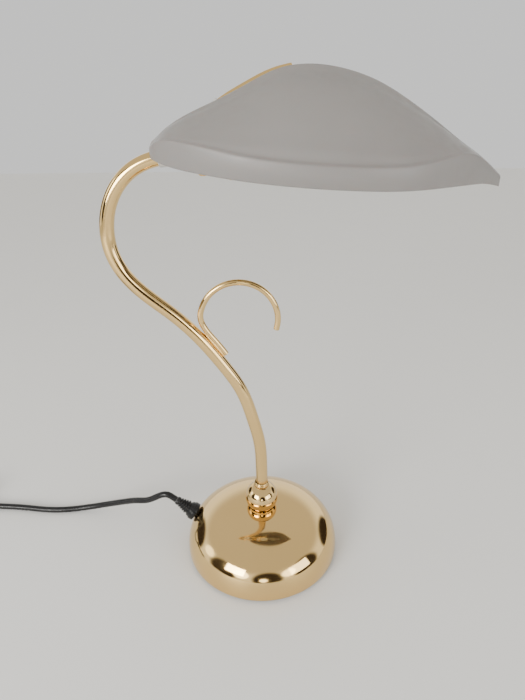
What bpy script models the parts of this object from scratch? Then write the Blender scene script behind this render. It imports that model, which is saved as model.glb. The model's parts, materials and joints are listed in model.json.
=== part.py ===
"""Swan-neck desk lamp in polished brass, with a leaf-shaped satin glass shade.

Frame: metres, +Z up. The origin is the centre of the felt pad's underside, on the table.
+X points along the shade, towards its pointed tip. The mains cord leaves towards -X.
"""
import math

import bmesh
import bpy
import numpy as np
from mathutils import Matrix, Vector

MM = 0.001
GAP = 0.3 * MM              # clearance between pieces that touch

# Base
BASE_R = 66 * MM            # widest radius of the brass cover
BASE_TOP = 45 * MM          # height of the cover's crown
BASE_WIDE_Z = 5 * MM        # height of the widest ring
BASE_ROUNDNESS = 2.35       # exponent of the cover's outline: 2 is an ellipse
COVER_WALL = 1.2 * MM
FELT_T = 2.2 * MM
PLATE_T = 1.2 * MM
WEIGHT_MARGIN = 10 * MM     # how far the weight stays inside the widest radius
WEIGHT_BORE_R = 15 * MM
WEIGHT_T = 10.5 * MM
WEIGHT_SCREW_RING = 44 * MM
WEIGHT_SCREW_R = 2 * MM

# Stem
TUBE_R = 5 * MM
TUBE_WALL = 1 * MM
BALL_R = 14 * MM
BALL_SINK = 6 * MM          # how much of the ball its flat seat takes away
COLLAR_WALL = 0.9 * MM
COLLAR_H = 3.5 * MM
COLLAR_EDGE = 0.45 * MM
NUT_ACROSS = 14 * MM
ROD_R = 2.25 * MM
SCROLL_R = 28.5 * MM        # radius of the scroll's curl
SCROLL_CENTRE = Vector((-20.86 * MM, 0, 213.98 * MM))
SCROLL_LEAN = Vector((0.8, 0, 0.6))     # from the stem's centre line towards the scroll rod

# Lamp head
HEAD_Z = 332 * MM           # height of the lampholder's axis
TUBE_END_X = -21 * MM
CLAMP_X = -35 * MM
CLAMP_SIZE = Vector((12 * MM, 15 * MM, 22 * MM))
CLAMP_SCREW_R = 2 * MM
HOLDER_R = 13.5 * MM
HOLDER_X = -27 * MM         # back of the lampholder's cap
HOLDER_CAP_L = 15 * MM
HOLDER_BODY_L = 38 * MM
BULB_CAP_R = 6.8 * MM
BULB_CAP_L = 17.5 * MM
BULB_R = 17.5 * MM
BULB_L = 70 * MM

# Shade
SHADE_X0 = -66.5 * MM       # rounded end, where the stem enters
SHADE_L = 224.5 * MM
SHADE_HALF_WIDTH = 60 * MM
GLASS_T = 3.6 * MM
SHADE_STATIONS = 28
SLEEVE_WALL = 0.9 * MM

# Mains cord and what is on it
CORD_R = 2.8 * MM
CORE_R = 1.0 * MM
WIRE_OFFSET = 1.7 * MM      # how far each wire runs from the stem's centre line
GLAND_ANGLE = math.radians(169)
GLAND_Z = 24 * MM
GLAND_NECK_R = 4.4 * MM
GLAND_HEAD_R = 8 * MM
GLAND_LENGTH = 22 * MM
GLAND_BACK = 5.5 * MM       # how far the strain relief reaches inside the cover
CORD_CLAMP_INSET = 18 * MM  # from the widest radius to the cord clamp
SWITCH_CENTRE = Vector((-325 * MM, 48 * MM, 0))
SWITCH_SIZE = Vector((62 * MM, 26 * MM, 17.5 * MM))
SWITCH_WALL = 2 * MM
SWITCH_CORD_Z = 7 * MM
WINDOW_SIZE = Vector((16.6 * MM, 11 * MM, 0))
ROCKER_TILT = math.radians(8)
ROCKER_PIVOT_Z = 14 * MM
COIL_CENTRE = Vector((-408 * MM, 8.3 * MM, 0))
COIL_MEAN_R = 31 * MM
COIL_HALF_WIDTH = 11.6 * MM
COIL_HEIGHT = 12.4 * MM
PLUG_BACK_X = -372 * MM
PLUG_SIZE = Vector((34 * MM, 35 * MM, 14 * MM))
PLUG_NOSE_L = 10 * MM
PIN_R = 2 * MM
PIN_SPACING = 19 * MM
PIN_L = 19 * MM

ROUND_STEPS = 32

# Centre line of the stem tube, from inside the ball to inside the lampholder
STEM_ROUTE = [
    (0, 51.5), (0.3, 68), (0.2, 86), (-1, 108), (-6.2, 132), (-14.8, 159), (-28.5, 182),
    (-44.8, 204), (-63, 223), (-83, 240.3), (-95, 254.5), (-101.6, 270), (-102.6, 286),
    (-99, 301.5), (-91.2, 314.8), (-80, 324.6), (-65.8, 330.3), (-54, 332), (-44, 332),
    (-33, 332), (-21, 332)]
# Scroll rod: where it lies along the stem, before the curl. These points and SCROLL_CENTRE are
# given as if the rod lay on the stem's centre line; scroll_path moves them out to its side.
SCROLL_FOOT = [(-31.36, 185.98), (-38.26, 195.78), (-44.76, 204.58)]
# Height of the shade's ridge, against the distance from its rounded end
RIDGE = [
    (0, 340.6), (4, 343.8), (8, 347), (26, 357.4), (45, 365.2), (62, 373), (79, 380.2),
    (90, 382.4), (105, 382.4), (122, 379.4), (140, 373.2), (158, 363.6), (177, 351.4),
    (197, 338), (214, 327), (224.5, 318.4)]
# Height of the shade's rim, against the distance from its rounded end
RIM = [
    (0, 332), (14, 328.6), (34, 325.6), (57, 322.8), (80, 320.6), (109, 318.4), (125, 317.4),
    (146, 316.4), (176, 316), (200, 315.6), (213, 314.6), (224.5, 312)]
# Half-width of the shade in plan, as a share of the widest
HALF_WIDTH = [
    (0, 0.185), (3, 0.28), (9, 0.40), (20, 0.56), (36, 0.72), (56, 0.86), (80, 0.96),
    (104, 1.0), (130, 0.97), (156, 0.85), (180, 0.62), (200, 0.37), (214, 0.18), (224.5, 0.04)]
# Depth of the vein, the shallow groove along the ridge that the brass rod lies in
VEIN = [(0, 0), (10, 0.3), (24, 4.2), (45, 4.2), (66, 3.4), (92, 3.2), (110, 1.6), (135, 0)]
VEIN_HALF_WIDTH = 4.5 * MM

# Mains cord, from the strain relief's tip to the switch
CORD_ROUTE_1 = [
    (-103, 19.8, 33), (-117, 25.4, 27), (-132, 32.2, 19.6), (-147.5, 38, 12.2),
    (-162.5, 41.2, 6.8), (-177, 41.8, 3.9), (-199, 40.6, 2.9), (-218, 41.8, 2.9),
    (-234, 44.2, 2.9), (-262, 46.8, 2.9), (-276, 47.7, 4)]
CORD_ROUTE_2 = [(-368, 48, 5.2)]


# ---------------------------------------------------------------- helpers

def clear_scene():
    for obj in list(bpy.data.objects):
        bpy.data.objects.remove(obj, do_unlink=True)


def collection(name):
    group = bpy.data.collections.new(name)
    bpy.context.scene.collection.children.link(group)
    return group


def material(name, colour, roughness, metallic=0.0):
    mat = bpy.data.materials.new(name)
    mat.use_nodes = True
    shader = mat.node_tree.nodes["Principled BSDF"]
    shader.inputs["Base Color"].default_value = (*colour, 1.0)
    shader.inputs["Roughness"].default_value = roughness
    shader.inputs["Metallic"].default_value = metallic
    mat.diffuse_color = (*colour, 1.0)
    return mat


def place(name, data, mat, matrix=None):
    """Link an object that holds this mesh or curve to the lamp's collection."""
    obj = bpy.data.objects.new(name, data)
    data.materials.append(mat)
    LAMP.objects.link(obj)
    if matrix is not None:
        obj.matrix_world = matrix
    return obj


def as_cutter(obj):
    obj.hide_render = True
    obj.display_type = "WIRE"
    LAMP.objects.unlink(obj)
    CUTTERS.objects.link(obj)
    return obj


def cut(obj, cutter, operation="DIFFERENCE"):
    mod = obj.modifiers.new(cutter.name, "BOOLEAN")
    mod.operation = operation
    mod.object = cutter
    mod.solver = "EXACT"


def aim(origin, direction):
    """A matrix whose local +Z points along the direction."""
    turn = Vector(direction).to_track_quat("Z", "Y").to_matrix().to_4x4()
    return Matrix.Translation(origin) @ turn


def box(name, low, high, mat, bevel=0.0, segments=2):
    low, high = Vector(low), Vector(high)
    mesh = bpy.data.meshes.new(name)
    bm = bmesh.new()
    bmesh.ops.create_cube(bm, size=1.0)
    bmesh.ops.scale(bm, vec=high - low, verts=bm.verts)
    bm.to_mesh(mesh)
    bm.free()
    obj = place(name, mesh, mat, Matrix.Translation((low + high) / 2))
    if bevel:
        mod = obj.modifiers.new("edges", "BEVEL")
        mod.width = bevel
        mod.segments = segments
    return obj


def cylinder(name, radius, length, mat, matrix, sides=ROUND_STEPS, end_radius=None):
    """A cylinder or cone that starts at the matrix's origin and runs along its +Z."""
    mesh = bpy.data.meshes.new(name)
    bm = bmesh.new()
    far = radius if end_radius is None else end_radius
    bmesh.ops.create_cone(bm, cap_ends=True, segments=sides, radius1=radius, radius2=far,
                          depth=length, matrix=Matrix.Translation((0, 0, length / 2)))
    bm.to_mesh(mesh)
    bm.free()
    smooth(mesh)
    return place(name, mesh, mat, matrix)


def turned(name, profile, mat, matrix=None, closed=False, steps=ROUND_STEPS):
    """Turn a profile of (radius, height) about local Z. Its outer side runs top to bottom."""
    mesh = bpy.data.meshes.new(name)
    count = len(profile)
    edges = [(i, i + 1) for i in range(count - 1)]
    if closed:
        edges.append((count - 1, 0))
    mesh.from_pydata([(radius, 0, height) for radius, height in profile], edges, [])
    obj = place(name, mesh, mat, matrix)
    mod = obj.modifiers.new("turn", "SCREW")
    mod.steps = steps
    mod.render_steps = steps
    mod.use_merge_vertices = True
    mod.merge_threshold = 0.01 * MM
    mod.use_smooth_shade = True
    return obj


def ring(name, inner, outer, low, high, mat, matrix=None, steps=ROUND_STEPS):
    profile = [(outer, high), (outer, low), (inner, low), (inner, high)]
    return turned(name, profile, mat, matrix, closed=True, steps=steps)


def smooth(mesh):
    mesh.shade_smooth()
    mesh.set_sharp_from_angle(angle=math.radians(35))


def spline(points):
    """A natural cubic curve through the points, as a function of the distance along them."""
    pts = np.array(points, float)
    knots = np.concatenate([[0], np.cumsum(np.linalg.norm(np.diff(pts, axis=0), axis=1))])
    gaps = np.diff(knots)
    count = len(pts)
    system = np.eye(count)
    right = np.zeros_like(pts)
    for i in range(1, count - 1):
        system[i, i - 1:i + 2] = gaps[i - 1], 2 * (gaps[i - 1] + gaps[i]), gaps[i]
        right[i] = 6 * ((pts[i + 1] - pts[i]) / gaps[i] - (pts[i] - pts[i - 1]) / gaps[i - 1])
    bend = np.linalg.solve(system, right)

    def at(s):
        i = min(max(int(np.searchsorted(knots, s)) - 1, 0), count - 2)
        a, b, h = knots[i + 1] - s, s - knots[i], gaps[i]
        return ((bend[i] * a ** 3 + bend[i + 1] * b ** 3) / (6 * h)
                + (pts[i] / h - bend[i] * h / 6) * a + (pts[i + 1] / h - bend[i + 1] * h / 6) * b)

    return at, knots[-1]


def smooth_path(points, step):
    at, length = spline(points)
    count = max(2, round(length / step) + 1)
    return [Vector(at(s)) for s in np.linspace(0, length, count)]


def in_plane(route):
    """Points in millimetres, in the lamp's own plane, as vectors in metres."""
    return [Vector((x * MM, 0, z * MM)) for x, z in route]


def millimetres(route):
    return [Vector(point) * MM for point in route]


def level(table, distance):
    """Read a smooth curve through a table of (distance, value), both in the table's units."""
    at, length = spline([(d, 0, v) for d, v in table])
    low, high = 0.0, length
    for _ in range(40):
        middle = (low + high) / 2
        if at(middle)[0] < distance:
            low = middle
        else:
            high = middle
    return at((low + high) / 2)[2]


def tube_curve(name, path, radius, mat, sides_level=2, caps=True):
    data = bpy.data.curves.new(name, "CURVE")
    data.dimensions = "3D"
    data.bevel_depth = radius
    data.bevel_resolution = sides_level
    data.use_fill_caps = caps
    line = data.splines.new("POLY")
    line.points.add(len(path) - 1)
    for point, place_at in zip(line.points, path):
        point.co = (*place_at, 1.0)
    return place(name, data, mat)


def tube_mesh(name, path, radius, mat, sides_level=2, caps=True):
    """The same tube as a mesh, for pieces that are cut, joined or hollow."""
    curve = tube_curve(name + ".line", path, radius, mat, sides_level, caps)
    bpy.context.view_layer.update()
    evaluated = curve.evaluated_get(bpy.context.evaluated_depsgraph_get())
    mesh = bpy.data.meshes.new_from_object(evaluated)
    bm = bmesh.new()
    bm.from_mesh(mesh)
    bmesh.ops.remove_doubles(bm, verts=bm.verts, dist=0.01 * MM)
    bm.to_mesh(mesh)
    bm.free()
    matrix = curve.matrix_world.copy()
    bpy.data.objects.remove(curve, do_unlink=True)
    mesh.materials.clear()
    smooth(mesh)
    return place(name, mesh, mat, matrix)


def hollow_tube(name, path, radius, wall, mat, sides_level=2):
    obj = tube_mesh(name, path, radius, mat, sides_level, caps=False)
    mod = obj.modifiers.new("wall", "SOLIDIFY")
    mod.thickness = wall
    mod.offset = -1
    return obj


# ---------------------------------------------------------------- base

def cover_outline(inset=0.0):
    """Outer profile of the cover from its centre hole down to its rim."""
    hole = TUBE_R + GAP
    half = BASE_TOP - BASE_WIDE_Z - inset
    wide = BASE_R - inset
    start = math.asin((hole / wide) ** (BASE_ROUNDNESS / 2))
    points = []
    for i in range(15):
        angle = start + (math.pi / 2 - start) * i / 14
        radius = wide * math.sin(angle) ** (2 / BASE_ROUNDNESS)
        height = BASE_WIDE_Z + half * math.cos(angle) ** (2 / BASE_ROUNDNESS)
        points.append((radius, height))
    rim = FELT_T + GAP
    points.append((wide - 0.3 * MM, (BASE_WIDE_Z + rim) / 2))
    points.append((wide - 1.4 * MM, rim))
    return points


def cover_radius(height):
    share = (height - BASE_WIDE_Z) / (BASE_TOP - BASE_WIDE_Z)
    return BASE_R * (1 - share ** BASE_ROUNDNESS) ** (1 / BASE_ROUNDNESS)


def gland_axis():
    """Where the strain relief goes through the cover, and the cover's normal there."""
    radius = cover_radius(GLAND_Z)
    rise = BASE_TOP - BASE_WIDE_Z
    outward = (radius / BASE_R) ** (BASE_ROUNDNESS - 1) / BASE_R
    upward = ((GLAND_Z - BASE_WIDE_Z) / rise) ** (BASE_ROUNDNESS - 1) / rise
    radial = Vector((math.cos(GLAND_ANGLE), math.sin(GLAND_ANGLE), 0))
    normal = (radial * outward + Vector((0, 0, upward))).normalized()
    return radial * radius + Vector((0, 0, GLAND_Z)), normal


def weight_screw_spots():
    for i in range(3):
        angle = math.radians(90 + 120 * i)
        yield i + 1, Vector((math.cos(angle), math.sin(angle), 0)) * WEIGHT_SCREW_RING


def screw_profile(clearance):
    """Countersunk screw, head down: its head is flush with the plate's underside."""
    head, shank = WEIGHT_SCREW_R * 1.9 + clearance, WEIGHT_SCREW_R + clearance
    sink = PLATE_T + 0.8 * MM
    return [(0, 9 * MM + clearance), (shank, 9 * MM + clearance), (shank, sink), (head, -clearance),
            (0, -clearance)]


def make_base(brass, iron, steel, felt):
    plate_low = FELT_T + GAP
    plate_high = plate_low + PLATE_T
    cover = turned("base_cover", cover_outline(), brass, steps=44)
    shell = cover.modifiers.new("wall", "SOLIDIFY")
    shell.thickness = COVER_WALL
    shell.offset = -1
    centre, normal = gland_axis()
    hole = cylinder("gland_hole", GLAND_NECK_R + GAP, 16 * MM, brass,
                    aim(centre - normal * 8 * MM, normal))
    cut(cover, as_cutter(hole))

    inner = BASE_R - 1.4 * MM - COVER_WALL
    plate = cylinder("base_plate", inner - GAP, PLATE_T, steel,
                     Matrix.Translation((0, 0, plate_low)), sides=48)
    cylinder("felt_pad", BASE_R - 2 * MM, FELT_T, felt, Matrix.Identity(4), sides=48)
    low = plate_high + GAP
    weight = ring("base_weight", WEIGHT_BORE_R, BASE_R - WEIGHT_MARGIN, low, low + WEIGHT_T, iron, steps=40)
    for number, spot in weight_screw_spots():
        at = Matrix.Translation(spot + Vector((0, 0, plate_low)))
        turned(f"weight_screw_{number}", screw_profile(0), steel, at, steps=12)
        room = turned(f"weight_screw_room_{number}", screw_profile(GAP), steel, at, steps=12)
        as_cutter(room)
        cut(plate, room)
        cut(weight, room)
    return low + WEIGHT_T


def make_cover_fixing(brass, steel):
    """Nipple, washer and nut that hold the ball on the cover."""
    inside = BASE_TOP - COVER_WALL
    washer_high = inside - GAP
    washer_low = washer_high - 0.8 * MM
    nut_high = washer_low - GAP
    nut_low = nut_high - 3.5 * MM
    ball_centre = ball_height()
    ring("cover_nipple", TUBE_R - TUBE_WALL, TUBE_R, nut_low - 4 * MM,
         ball_centre - GAP, steel, steps=24)
    ring("lock_washer", TUBE_R + GAP, NUT_ACROSS / 2 + 0.5 * MM, washer_low, washer_high, steel,
         steps=24)
    hex_nut("cover_nut", nut_high - nut_low, steel, Matrix.Translation((0, 0, nut_low)))


def hex_nut(name, thickness, mat, matrix):
    corner = NUT_ACROSS / 2 / math.cos(math.pi / 6)
    nut = cylinder(name, corner, thickness, mat, matrix, sides=6)
    bore = cylinder(name + "_bore", TUBE_R + GAP, thickness + 4 * MM, mat,
                    matrix @ Matrix.Translation((0, 0, -2 * MM)), sides=24)
    cut(nut, as_cutter(bore))
    return nut


# ---------------------------------------------------------------- stem

def ball_height():
    return BASE_TOP + GAP + BALL_R - BALL_SINK


def make_ball(brass):
    centre = ball_height()
    bore = TUBE_R + GAP
    collar_r = bore + COLLAR_WALL
    flat = collar_r + 0.2 * MM
    seat = math.sqrt(BALL_R ** 2 - (BALL_R - BALL_SINK) ** 2)
    start = math.asin(flat / BALL_R)
    end = math.pi - math.asin(seat / BALL_R)
    arc = [start + (end - start) * i / 12 for i in range(13)]
    profile = [(BALL_R * math.sin(a), centre + BALL_R * math.cos(a)) for a in arc]
    top, bottom = profile[0][1], profile[-1][1]
    turned("stem_ball", profile + [(bore, bottom), (bore, top)], brass, closed=True)

    low = top + GAP
    high = low + COLLAR_H
    collar = [(collar_r - COLLAR_EDGE, high), (collar_r, high - COLLAR_EDGE), (collar_r, low),
              (bore, low), (bore, high)]
    turned("stem_collar", collar, brass, closed=True, steps=24)


def stem_path():
    route = in_plane(STEM_ROUTE)
    route[0].z = ball_height()
    return smooth_path(route, 7 * MM)


def scroll_path():
    """Along the stem, then round the curl to its free end."""
    start, end = math.radians(176), math.radians(-17)
    count = 13
    curl = []
    for i in range(count):
        angle = start + (end - start) * i / (count - 1)
        curl.append(SCROLL_CENTRE + Vector((math.cos(angle), 0, math.sin(angle))) * SCROLL_R)
    reach = SCROLL_LEAN * (TUBE_R + ROD_R + 1.5 * GAP)
    return [p + reach for p in smooth_path(in_plane(SCROLL_FOOT) + curl, 5 * MM)]


def make_stem(brass):
    hollow_tube("stem_tube", stem_path(), TUBE_R, TUBE_WALL, brass, sides_level=3)
    tube_curve("scroll_rod", scroll_path(), ROD_R, brass)


# ---------------------------------------------------------------- shade

def ridge(x):
    return level(RIDGE, (x - SHADE_X0) / MM) * MM


def vein(x):
    return max(0.0, level(VEIN, min((x - SHADE_X0) / MM, VEIN[-1][0]))) * MM


def shade_section(x, inset=0.0, drop=0.0):
    """Cross-section of the shade at x, from one rim over the ridge to the other."""
    distance = (x - SHADE_X0) / MM
    half = SHADE_HALF_WIDTH * level(HALF_WIDTH, distance) - inset
    rim = level(RIM, distance) * MM
    top = ridge(x) - inset
    band = 0.28 * (ridge(x) - rim)
    shoulder = rim + band
    half_points = [(0.95, rim - drop), (0.985, rim + 0.45 * band), (0.975, shoulder)]
    side = [(half * share, height) for share, height in half_points]
    for share in (0.9, 0.8, 0.66, 0.5, 0.33, 0.2):
        y = 0.975 * half * share
        side.append((y, shoulder + (top - shoulder) * (1 - share ** 1.9)))
    groove = [(1.3 * VEIN_HALF_WIDTH, 0.05), (0.8 * VEIN_HALF_WIDTH, 0.45), (0.4 * VEIN_HALF_WIDTH, 0.9)]
    for y, share in groove:
        y = min(y, 0.15 * half * y / groove[0][0])
        side.append((y, top - vein(x) * share))
    crown = [(0, top - vein(x))]
    mirrored = [(-y, z) for y, z in reversed(side)]
    return side + crown + mirrored


def loft(name, stations, mat):
    """A closed body through cross-sections with the same number of points."""
    mesh = bpy.data.meshes.new(name)
    bm = bmesh.new()
    rows = []
    for x, section in stations:
        rows.append([bm.verts.new((x, y, z)) for y, z in section])
    for near, far in zip(rows, rows[1:]):
        count = len(near)
        for i in range(count):
            j = (i + 1) % count
            bm.faces.new((near[i], near[j], far[j], far[i]))
    for row in (rows[0], rows[-1]):
        middle = bm.verts.new(sum((v.co for v in row), Vector()) / len(row))
        for i in range(len(row)):
            bm.faces.new((row[i], row[(i + 1) % len(row)], middle))
    bmesh.ops.recalc_face_normals(bm, faces=bm.faces)
    bm.to_mesh(mesh)
    bm.free()
    smooth(mesh)
    return place(name, mesh, mat)


def make_shade(glass, silicone):
    shares = [i / (SHADE_STATIONS - 1) for i in range(SHADE_STATIONS)]
    spots = [SHADE_X0 + SHADE_L * (0.35 * s + 0.65 * (1 - math.cos(math.pi * s)) / 2)
             for s in shares]
    shade = loft("glass_shade", [(x, shade_section(x)) for x in spots], glass)
    inner_end = SHADE_X0 + SHADE_L - 4.5 * GLASS_T
    inner = [SHADE_X0 - 5 * MM] + [x for x in spots if x < inner_end]
    hollow = [(x, shade_section(max(x, SHADE_X0), GLASS_T, drop=12 * MM)) for x in inner]
    cut(shade, as_cutter(loft("shade_hollow", hollow, glass)))

    crossing = [p for p in shade_rod_path() if p.z > 346 * MM and p.x < -13 * MM]
    hole = tube_mesh("shade_rod_hole", crossing, ROD_R + 2 * GAP + SLEEVE_WALL, glass)
    cut(shade, as_cutter(hole))
    wrapped = [p for p in shade_rod_path() if -31.5 * MM < p.x < -22 * MM]
    hollow_tube("rod_sleeve", wrapped, ROD_R + GAP + SLEEVE_WALL, SLEEVE_WALL, silicone)
    mouth = [p for p in stem_path() if p.z > 0.95 * HEAD_Z and SHADE_X0 + MM < p.x < -54 * MM]
    hollow_tube("rest_sleeve", mouth, TUBE_R + GAP + SLEEVE_WALL, SLEEVE_WALL, silicone, 6)


def shade_rod_path():
    """Up from the clamp, through the glass, then along the vein to its free end."""
    foot = in_plane([(CLAMP_X / MM, 341), (CLAMP_X / MM, 346.5), (-33.2, 352.4), (-28.6, 358)])
    along = []
    for x in (-16, -6, 4, 14, 22):
        slope = (ridge(x * MM + 2 * MM) - ridge(x * MM - 2 * MM)) / (4 * MM)
        lift = (ROD_R + 1.5 * GAP) * math.sqrt(1 + slope ** 2)
        along.append(Vector((x * MM, 0, ridge(x * MM) - vein(x * MM) + lift)))
    return smooth_path(foot + along, 3 * MM)


def make_shade_fixing(brass):
    half = CLAMP_SIZE / 2
    centre = Vector((CLAMP_X, 0, HEAD_Z + 2.2 * MM))
    block = box("shade_clamp", centre - half, centre + half, brass, bevel=1 * MM)
    bore = cylinder("clamp_bore", TUBE_R + GAP, 30 * MM, brass,
                    aim(Vector((CLAMP_X - 15 * MM, 0, HEAD_Z)), (1, 0, 0)))
    rod_seat = cylinder("rod_seat", ROD_R + GAP, 20 * MM, brass,
                        Matrix.Translation((CLAMP_X, 0, 341 * MM - GAP)), sides=16)
    thread = cylinder("clamp_thread", CLAMP_SCREW_R + GAP, 10 * MM, brass,
                      Matrix.Translation((CLAMP_X, 0, centre.z - half.z - 5 * MM)), sides=16)
    for cutter in (bore, rod_seat, thread):
        cut(block, as_cutter(cutter))
    tube_curve("shade_rod", shade_rod_path(), ROD_R, brass)

    tip = HEAD_Z - TUBE_R - GAP
    under = centre.z - half.z - GAP
    head_r, head_h = 1.6 * CLAMP_SCREW_R, 3.4 * MM
    screw = [(0, tip), (CLAMP_SCREW_R, tip), (CLAMP_SCREW_R, under), (head_r, under),
             (head_r, under - head_h + 0.8 * MM), (head_r - 0.8 * MM, under - head_h), (0, under - head_h)]
    shifted = [(radius, height - tip) for radius, height in screw]
    head = turned("clamp_screw", shifted, brass, Matrix.Translation((CLAMP_X, 0, tip)), steps=20)
    slot = box("clamp_screw_slot", (CLAMP_X - 5 * MM, -0.4 * MM, under - head_h - 1 * MM),
               (CLAMP_X + 5 * MM, 0.4 * MM, under - head_h + 0.9 * MM), brass)
    cut(head, as_cutter(slot))


# ---------------------------------------------------------------- lampholder and bulb

def on_head_axis(x):
    return aim(Vector((x, 0, HEAD_Z)), (1, 0, 0))


def make_lampholder(plastic, brass, steel, ceramic):
    wall = 1.5 * MM
    bore = TUBE_R + GAP
    length = HOLDER_CAP_L
    cap = [(HOLDER_R, length), (HOLDER_R, 0.35 * length), (0.85 * HOLDER_R, 0.1 * length),
           (0.6 * HOLDER_R, 0), (bore, 0), (bore, wall), (0.6 * HOLDER_R, wall + 0.5 * MM),
           (HOLDER_R - wall, 0.4 * length), (HOLDER_R - wall, length)]
    turned("lampholder_cap", cap, plastic, on_head_axis(HOLDER_X), closed=True)
    hex_nut("lampholder_nut", 3 * MM, steel, on_head_axis(TUBE_END_X - 3.2 * MM))

    body_x = HOLDER_X + HOLDER_CAP_L + GAP
    body_r = HOLDER_R - 0.3 * MM
    ring("lampholder_body", body_r - 2.4 * MM, body_r, 0, HOLDER_BODY_L, plastic, on_head_axis(body_x))
    ring("lampholder_ring", HOLDER_R + GAP, HOLDER_R + 1.7 * MM, 0, 9 * MM, brass,
         on_head_axis(HOLDER_X + 9 * MM))
    insulator_x = body_x + 12 * MM
    cylinder("contact_insulator", body_r - 2.4 * MM - GAP, 6 * MM, ceramic, on_head_axis(insulator_x))
    shell_x = insulator_x + 6 * MM + GAP
    ring("screw_shell", BULB_CAP_R + GAP, BULB_CAP_R + GAP + 0.7 * MM, 0, 18 * MM, brass,
         on_head_axis(shell_x), steps=24)
    cylinder("centre_contact", 2.6 * MM, 1 * MM, brass, on_head_axis(shell_x), sides=16)
    return shell_x + 1 * MM + GAP


def make_bulb(cap_metal, clear_glass, tip_x):
    tip = [(0, 1.4 * MM), (2 * MM, 1.4 * MM), (2 * MM, 0.6 * MM), (1.2 * MM, 0), (0, 0)]
    turned("bulb_tip", tip, cap_metal, on_head_axis(tip_x), steps=16)
    cap_x = tip_x + 1.4 * MM + GAP
    length = BULB_CAP_L
    cap = [(0, length), (BULB_CAP_R, length), (BULB_CAP_R, 3 * MM), (2.6 * MM, 0), (0, 0)]
    turned("bulb_cap", cap, cap_metal, on_head_axis(cap_x), steps=24)
    neck_r = BULB_CAP_R - 0.4 * MM
    outline = [(0, 1.0), (0.1, 0.985), (0.22, 0.93), (0.42, 0.82), (0.68, 0.66), (0.9, 0.48),
               (1.0, 0.33), (0.93, 0.19), (0.7, 0.09), (0.48, 0.03)]
    profile = [(share * BULB_R, height * BULB_L) for share, height in outline]
    profile.append((neck_r, 0))
    bulb = turned("bulb_glass", profile, clear_glass, on_head_axis(cap_x + length + GAP), steps=28)
    shell = bulb.modifiers.new("wall", "SOLIDIFY")
    shell.thickness = 0.8 * MM
    shell.offset = -1


# ---------------------------------------------------------------- wiring in the base and stem

def make_wiring(weight_top, plastic, copper, steel, black):
    block_low = Vector((-38 * MM, -10 * MM, weight_top + GAP))
    block_high = Vector((-20 * MM, 10 * MM, weight_top + GAP + 11 * MM))
    box("terminal_block", block_low, block_high, plastic, bevel=1 * MM)
    for number, y in ((1, -5 * MM), (2, 5 * MM)):
        cylinder(f"terminal_screw_{number}", 1.8 * MM, 1.2 * MM, steel,
                 Matrix.Translation((-29 * MM, y, block_high.z + GAP)), sides=12)

    wire_z = block_low.z + 5 * MM
    stem = [p for p in stem_path() if p.z > 45 * MM]
    for name, side in (("live_wire", 1), ("neutral_wire", -1)):
        apart = Vector((0, side * WIRE_OFFSET, 0))
        rise = [(-20 + GAP / MM, 4.5, 0), (-14, 3.8, 0.2), (-7.5, 2.8, 2), (-2.4, 2, 6.5), (-0.2, 1.7, 13)]
        route = [Vector((x, side * y, z)) * MM + Vector((0, 0, wire_z)) for x, y, z in rise]
        route += [p + apart for p in stem[::3]]
        spread = [(-13, 1.9), (-7, 3.2), (-0.3, 4)]
        route += [Vector((x * MM, side * y * MM, HEAD_Z)) for x, y in spread]
        tube_curve(name, smooth_path(route, 8 * MM), CORE_R, copper, sides_level=1)

    centre, normal = gland_axis()
    inner_face = centre - normal * (GLAND_BACK + GAP)
    lying = block_low.z + CORD_R + 0.8 * MM
    tail_end = Vector((block_low.x - 1.5 * GAP, 4 * MM, lying))
    clamp_x = CORD_CLAMP_INSET - BASE_R
    route = [inner_face, inner_face - normal * 4 * MM, Vector((clamp_x, 7 * MM, lying)),
             tail_end - Vector((4 * MM, 0, 0)), tail_end]
    tube_curve("cord_tail", smooth_path(route, 3 * MM), CORD_R, black)
    bar_low = lying + CORD_R + GAP + 0.7 * MM
    box("cord_clamp", (clamp_x - 3 * MM, -2 * MM, bar_low), (clamp_x + 3 * MM, 18 * MM, bar_low + 2 * MM),
        plastic, bevel=0.5 * MM)


def make_strain_relief(black):
    centre, normal = gland_axis()
    back = GLAND_BACK
    flange = COVER_WALL + 1.9 * MM
    stand_off = 1 * MM
    tip = GLAND_LENGTH
    body = [(0, tip), (CORD_R + 0.7 * MM, tip), (4.9 * MM, 8 * MM), (5.4 * MM, 6.5 * MM),
            (GLAND_HEAD_R, 6 * MM), (GLAND_HEAD_R, stand_off), (GLAND_NECK_R, stand_off),
            (GLAND_NECK_R, -flange), (GLAND_NECK_R + 1.6 * MM, -flange),
            (GLAND_NECK_R + 1.2 * MM, -back), (0, -back)]
    turned("strain_relief", body, black, aim(centre, normal), steps=20)
    return centre + normal * (GLAND_LENGTH + 1.5 * GAP), normal


# ---------------------------------------------------------------- cord, switch and plug

def coil_track():
    """Radius of the coil's outermost turn, along the cord's centre line."""
    return COIL_MEAN_R + COIL_HALF_WIDTH - CORD_R - 0.1 * MM


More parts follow.
